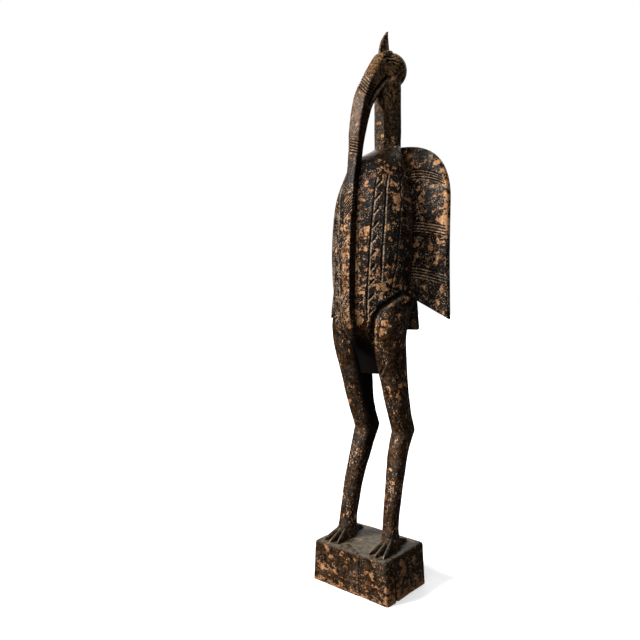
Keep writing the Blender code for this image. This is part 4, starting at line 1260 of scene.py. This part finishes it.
def patch_group():
    """Worn patches: the most that any patch gives, (reach - distance / radius), clipped to 0..1.

    The place is first pushed about by noise, so that the patches come out ragged.
    """
    tree, given, result = new_group("worn_patches", ["Vector"], ["Worn"])
    push = add_node(tree, "ShaderNodeTexNoise", {"Vector": given.outputs["Vector"],
                                                 "Scale": PATCH_RAGGED_SCALE, "Detail": 3.0})
    push = add_node(tree, "ShaderNodeVectorMath", {0: push.outputs["Color"], 1: (0.5, 0.5, 0.5)},
                    operation="SUBTRACT")
    pushed = add_node(tree, "ShaderNodeVectorMath",
                      {0: push.outputs[0], 1: (PATCH_RAGGED,) * 3, 2: given.outputs["Vector"]},
                      operation="MULTIPLY_ADD")
    parts = add_node(tree, "ShaderNodeSeparateXYZ", {0: pushed.outputs[0]})
    flat = add_node(tree, "ShaderNodeCombineXYZ", {"X": parts.outputs["X"], "Z": parts.outputs["Z"]})
    behind = step_node(tree, parts.outputs["Y"], WING_FRONT_FROM - WING_FRONT_BLEND,
                       WING_FRONT_FROM + WING_FRONT_BLEND)
    before = math_node(tree, "SUBTRACT", 1.0, behind)
    sums = []
    for patches, mask in ((FRONT_PATCHES, before), (WING_PATCHES, behind), (BLOCK_PATCHES, before)):
        most = 0.0
        for x, z, radius in patches:
            gap = add_node(tree, "ShaderNodeVectorMath", {0: flat.outputs[0], 1: (x, 0, z)},
                           operation="DISTANCE")
            near = math_node(tree, "MULTIPLY_ADD", gap.outputs["Value"], -1 / radius, PATCH_REACH)
            most = math_node(tree, "MAXIMUM", most, near)
        sums.append(math_node(tree, "MULTIPLY", math_node(tree, "MINIMUM", most, 1.0), mask))
    total = math_node(tree, "MAXIMUM", math_node(tree, "MAXIMUM", sums[0], sums[1]), sums[2])
    tree.links.new(total, result.inputs["Worn"])
    return tree


def flaking_group():
    """Where the paint is off, and where it is thin: coarse, fine and broad noise past a threshold."""
    tree, given, result = new_group("flaking", ["Vector", "Worn", "Threshold"], ["Bare", "Thin"])
    vector = given.outputs["Vector"]
    coarse = noise_node(tree, vector, 86.0, 5.0, 0.60, 0.2)
    fine = noise_node(tree, vector, 290.0, 3.0, 0.6)
    broad = noise_node(tree, vector, 13.0, 1.0)
    total = math_node(tree, "MULTIPLY_ADD", fine, 0.55, coarse)
    total = math_node(tree, "MULTIPLY_ADD", broad, 0.35, total)
    total = math_node(tree, "ADD", total, given.outputs["Worn"])
    total = math_node(tree, "SUBTRACT", total, given.outputs["Threshold"])
    tree.links.new(step_node(tree, total, 0.0, 0.02), result.inputs["Bare"])
    tree.links.new(step_node(tree, total, -0.055, 0.005), result.inputs["Thin"])
    return tree


def fleck_group():
    """Small flecks a millimetre or two across, thicker in some places than in others."""
    tree, given, result = new_group("flecks", ["Vector", "Scale", "Amount"], ["Flecks"])
    vector = given.outputs["Vector"]
    small = noise_node(tree, vector, given.outputs["Scale"], 2.0, 0.55)
    broad = noise_node(tree, vector, 45.0, 2.0)
    total = math_node(tree, "MULTIPLY_ADD", broad, 0.45, small)
    total = math_node(tree, "ADD", total, given.outputs["Amount"])
    tree.links.new(step_node(tree, total, 0.86, 0.92), result.inputs["Flecks"])
    return tree


def grain_group():
    """Wood grain: noise drawn out along the height of the log, coarse and fine."""
    tree, given, result = new_group("wood_grain", ["Vector"], ["Tone", "Fibre"])
    drawn = add_node(tree, "ShaderNodeMapping", {"Vector": given.outputs["Vector"],
                                                 "Scale": (1, 1, 0.07)}).outputs[0]
    tone = noise_node(tree, drawn, 160.0, 4.0, 0.6, 0.3)
    fibre = noise_node(tree, drawn, 900.0, 2.0, 0.6)
    tree.links.new(tone, result.inputs["Tone"])
    tree.links.new(fibre, result.inputs["Fibre"])
    return tree


def ramp_node(tree, value, stops):
    """The colour output of a Color Ramp with the given (place, colour) stops."""
    made = add_node(tree, "ShaderNodeValToRGB", {"Fac": value})
    elements = made.color_ramp.elements
    while len(elements) < len(stops):
        elements.new(0.5)
    for element, (place, colour) in zip(elements, stops):
        element.position = place
        element.color = (*colour, 1)
    return made.outputs["Color"]


def read_value(tree, name):
    """The output of a vertex value stored under a name."""
    return add_node(tree, "ShaderNodeAttribute", attribute_name=name).outputs["Fac"]


def add_group(tree, group, vector, **values):
    """Places a node group on a vector, with its other inputs given as values or sockets."""
    placed = add_node(tree, "ShaderNodeGroup", node_tree=group)
    tree.links.new(vector, placed.inputs["Vector"])
    for name, value in values.items():
        if isinstance(value, bpy.types.NodeSocket):
            tree.links.new(value, placed.inputs[name])
        else:
            placed.inputs[name].default_value = value
    return placed


def paint_colour(tree, vector, brown, red):
    """What is left of the paint: slate and brown black, mottled, browned or reddened in places."""
    shift = blotches(tree, vector, scale=34.0, roughness=0.60, low=0.46, high=0.60)
    paint = mix_node(tree, shift, BROWN_BLACK, SLATE_BLACK)
    mottle = blotches(tree, vector, scale=230.0, roughness=0.70, low=0.54, high=0.74)
    paint = mix_node(tree, times(tree, mottle, 0.6), paint, RUBBED_BROWN)
    stain = blotches(tree, vector, scale=160.0, roughness=0.70, low=0.43, high=0.64)
    paint = mix_node(tree, times(tree, stain, brown, 0.85), paint, HANDLED_BROWN)
    blush = blotches(tree, vector, scale=130.0, roughness=0.74, low=0.47, high=0.62)
    return mix_node(tree, times(tree, blush, red, 0.85), paint, RED_BROWN)


def flaked_paint():
    """Black paint over wood: flaked off in patches, flecked, worn pale at edges, dusty and dirty, with
    painted shade in hollows and painted highlights beside cut lines.
    """
    material = bpy.data.materials.new("flaked_paint")
    material.use_nodes = True
    tree = material.node_tree
    shader = tree.nodes["Principled BSDF"]
    vector = add_node(tree, "ShaderNodeTexCoord").outputs["Object"]
    names = "worn hollow rubbed dust brown red rust speckled drawn"
    worn, hollow, rubbed, dust, brown, red, rust, speckled, drawn_z = [
        read_value(tree, name) for name in names.split()]
    parts = add_node(tree, "ShaderNodeSeparateXYZ", {0: vector})
    drawn = add_node(tree, "ShaderNodeCombineXYZ", {"X": parts.outputs["X"], "Y": parts.outputs["Y"],
                                                    "Z": drawn_z}).outputs[0]
    patches = add_group(tree, patch_group(), vector)
    wear = math_node(tree, "MULTIPLY_ADD", patches.outputs["Worn"], PATCH_STRENGTH, worn)
    flaking = add_group(tree, flaking_group(), drawn, Worn=wear, Threshold=FLAKING_THRESHOLD)
    grain = add_group(tree, grain_group(), vector)
    flecks = fleck_group()
    # Pale flecks gather along worn edges and along the painted highlights beside cut lines
    rub_and_highlight = math_node(tree, "MULTIPLY_ADD", rubbed, 0.2, -0.055)
    amount = math_node(tree, "MULTIPLY_ADD", speckled, 0.09, rub_and_highlight)
    pale = add_group(tree, flecks, drawn, Scale=400.0, Amount=amount)
    left = add_group(tree, flecks, drawn, Scale=320.0, Amount=-0.01)
    kept = math_node(tree, "SUBTRACT", 1.0, left.outputs["Flecks"])
    bare = times(tree, flaking.outputs["Bare"], kept)

    paint = paint_colour(tree, vector, brown, red)
    paint = mix_node(tree, times(tree, flaking.outputs["Thin"], 0.85), paint, STAINED)
    wood = ramp_node(tree, grain.outputs["Tone"], WOOD_TONES)
    wood = mix_node(tree, times(tree, brown, 0.45), wood, HANDLED_WOOD)
    soiled = blotches(tree, vector, scale=200.0, roughness=0.65, low=0.44, high=0.66)
    rusting = math_node(tree, "MULTIPLY_ADD", soiled, 0.5, 0.4)
    wood = mix_node(tree, times(tree, rust, rusting), wood, RUSTY_WOOD)
    wood = mix_node(tree, times(tree, soiled, 0.45), wood, STAINED)
    colour = mix_node(tree, bare, paint, wood)
    colour = mix_node(tree, times(tree, pale.outputs["Flecks"], 0.75), colour, PALE_FLECK)
    # Pale worn edges, and painted highlights on the edge of each cut line that faces the key light
    worn_and_lit_edge = blotches(tree, vector, scale=190.0, roughness=0.60, low=0.38, high=0.62, detail=3.0)
    colour = mix_node(tree, times(tree, rubbed, worn_and_lit_edge, 0.55), colour, PALE_FLECK)
    # Dirt and painted shade darken the cut lines; painted shade darkens creases, between the legs, the
    # beak's sides and between the toes
    colour = mix_node(tree, times(tree, hollow, 0.97), colour, GROOVE_DIRT_AND_SHADE)
    settled = blotches(tree, vector, scale=100.0, roughness=0.68, low=0.34, high=0.64, detail=5.0)
    dusty = times(tree, dust, settled, 0.85)
    colour = mix_node(tree, dusty, colour, DUST)
    tree.links.new(colour, shader.inputs["Base Color"])
    shader.inputs["Specular IOR Level"].default_value = PAINT_SPECULAR

    rough = math_node(tree, "MULTIPLY_ADD", bare, 0.22, 0.42)
    rough = math_node(tree, "MULTIPLY_ADD", hollow, 0.3, rough)
    rough = math_node(tree, "MULTIPLY_ADD", dusty, 0.3, rough)
    tree.links.new(rough, shader.inputs["Roughness"])

    height = times(tree, bare, -0.35)
    height = math_node(tree, "MULTIPLY_ADD", grain.outputs["Fibre"], 0.15, height)
    height = math_node(tree, "MULTIPLY_ADD", noise_node(tree, drawn, 240.0, 4.0, 0.6), 0.6, height)
    bump = add_node(tree, "ShaderNodeBump", {"Height": height, "Distance": 0.001, "Strength": 0.9})
    tree.links.new(bump.outputs["Normal"], shader.inputs["Normal"])
    return material


def add_camera():
    """The camera at the photograph's place, looking level."""
    data = bpy.data.cameras.new("camera")
    data.sensor_width = CAMERA_SENSOR
    data.lens = CAMERA_LENS
    data.shift_y = CAMERA_SHIFT_Y
    camera = bpy.data.objects.new("camera", data)
    camera.location = CAMERA_PLACE
    camera.rotation_euler = (math.radians(90), 0, math.radians(CAMERA_TURN))
    bpy.context.scene.collection.objects.link(camera)
    bpy.context.scene.camera = camera


def add_sun(light):
    """A soft distant light."""
    data = bpy.data.lights.new(light.name, "SUN")
    data.angle = math.radians(light.softness)
    data.energy = light.strength
    data.color = light.colour
    lamp = bpy.data.objects.new(light.name, data)
    lamp.rotation_euler = (math.radians(90 - light.elevation), 0, math.radians(light.turn))
    bpy.context.scene.collection.objects.link(lamp)


def add_floor():
    """A plain pale floor."""
    mesh = bpy.data.meshes.new("floor")
    corners = [(-FLOOR_REACH, -FLOOR_REACH, 0), (FLOOR_REACH, -FLOOR_REACH, 0),
               (FLOOR_REACH, FLOOR_REACH, 0), (-FLOOR_REACH, FLOOR_REACH, 0)]
    mesh.from_pydata(corners, [], [(0, 1, 2, 3)])
    floor = bpy.data.objects.new("floor", mesh)
    bpy.context.scene.collection.objects.link(floor)
    material = bpy.data.materials.new("pale_floor")
    material.use_nodes = True
    shader = material.node_tree.nodes["Principled BSDF"]
    shader.inputs["Base Color"].default_value = FLOOR_COLOUR
    shader.inputs["Roughness"].default_value = FLOOR_ROUGHNESS
    shader.inputs["Emission Color"].default_value = WHITE
    shader.inputs["Emission Strength"].default_value = FLOOR_GLOW
    mesh.materials.append(material)
    floor.location.z = -FLOOR_GAP
    floor.visible_diffuse = False
    floor.visible_glossy = False


def add_world():
    """A white surround, dimmer as a light on the figure than as the camera sees it."""
    world = bpy.data.worlds.new("studio")
    world.use_nodes = True
    tree = world.node_tree
    background = tree.nodes["Background"]
    background.inputs["Color"].default_value = WHITE
    seen = add_node(tree, "ShaderNodeLightPath").outputs["Is Camera Ray"]
    strength = math_node(tree, "MULTIPLY_ADD", seen, 1.0 - AMBIENT, AMBIENT)
    tree.links.new(strength, background.inputs["Strength"])
    bpy.context.scene.world = world


def add_studio():
    """The floor, the surround, a soft key light from the camera's left and two weak lights."""
    add_floor()
    add_world()
    for light in LIGHTS:
        add_sun(light)
    bpy.context.scene.view_settings.view_transform = "Standard"


def main():
    """Makes the figure, its finish, the camera and the studio."""
    forms = [make_block(), make_body(), make_neck(), make_head(), make_crest(), make_beak(),
             make_wing("left_wing", 1, 6), make_wing("right_wing", -1, 7), make_tail(),
             make_leg("left_leg", 1, LEFT_FULLNESS, 10), make_leg("right_leg", -1, RIGHT_FULLNESS, 11)]
    forms += make_toes("left", 1) + make_toes("right", -1)
    piece = join_forms(forms, "carved_hornbill")
    thin_out(piece, MOST_TRIANGLES)
    piece.data.materials.clear()
    piece.data.materials.append(flaked_paint())
    keep_inside(piece.data)
    piece.data.polygons.foreach_set("use_smooth", np.ones(len(piece.data.polygons), dtype=bool))
    piece.data.set_sharp_from_angle(angle=math.radians(SHARP_EDGE))
    add_wear(piece.data)
    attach(piece, "root")
    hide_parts(NODE)
    add_camera()
    add_studio()


main()
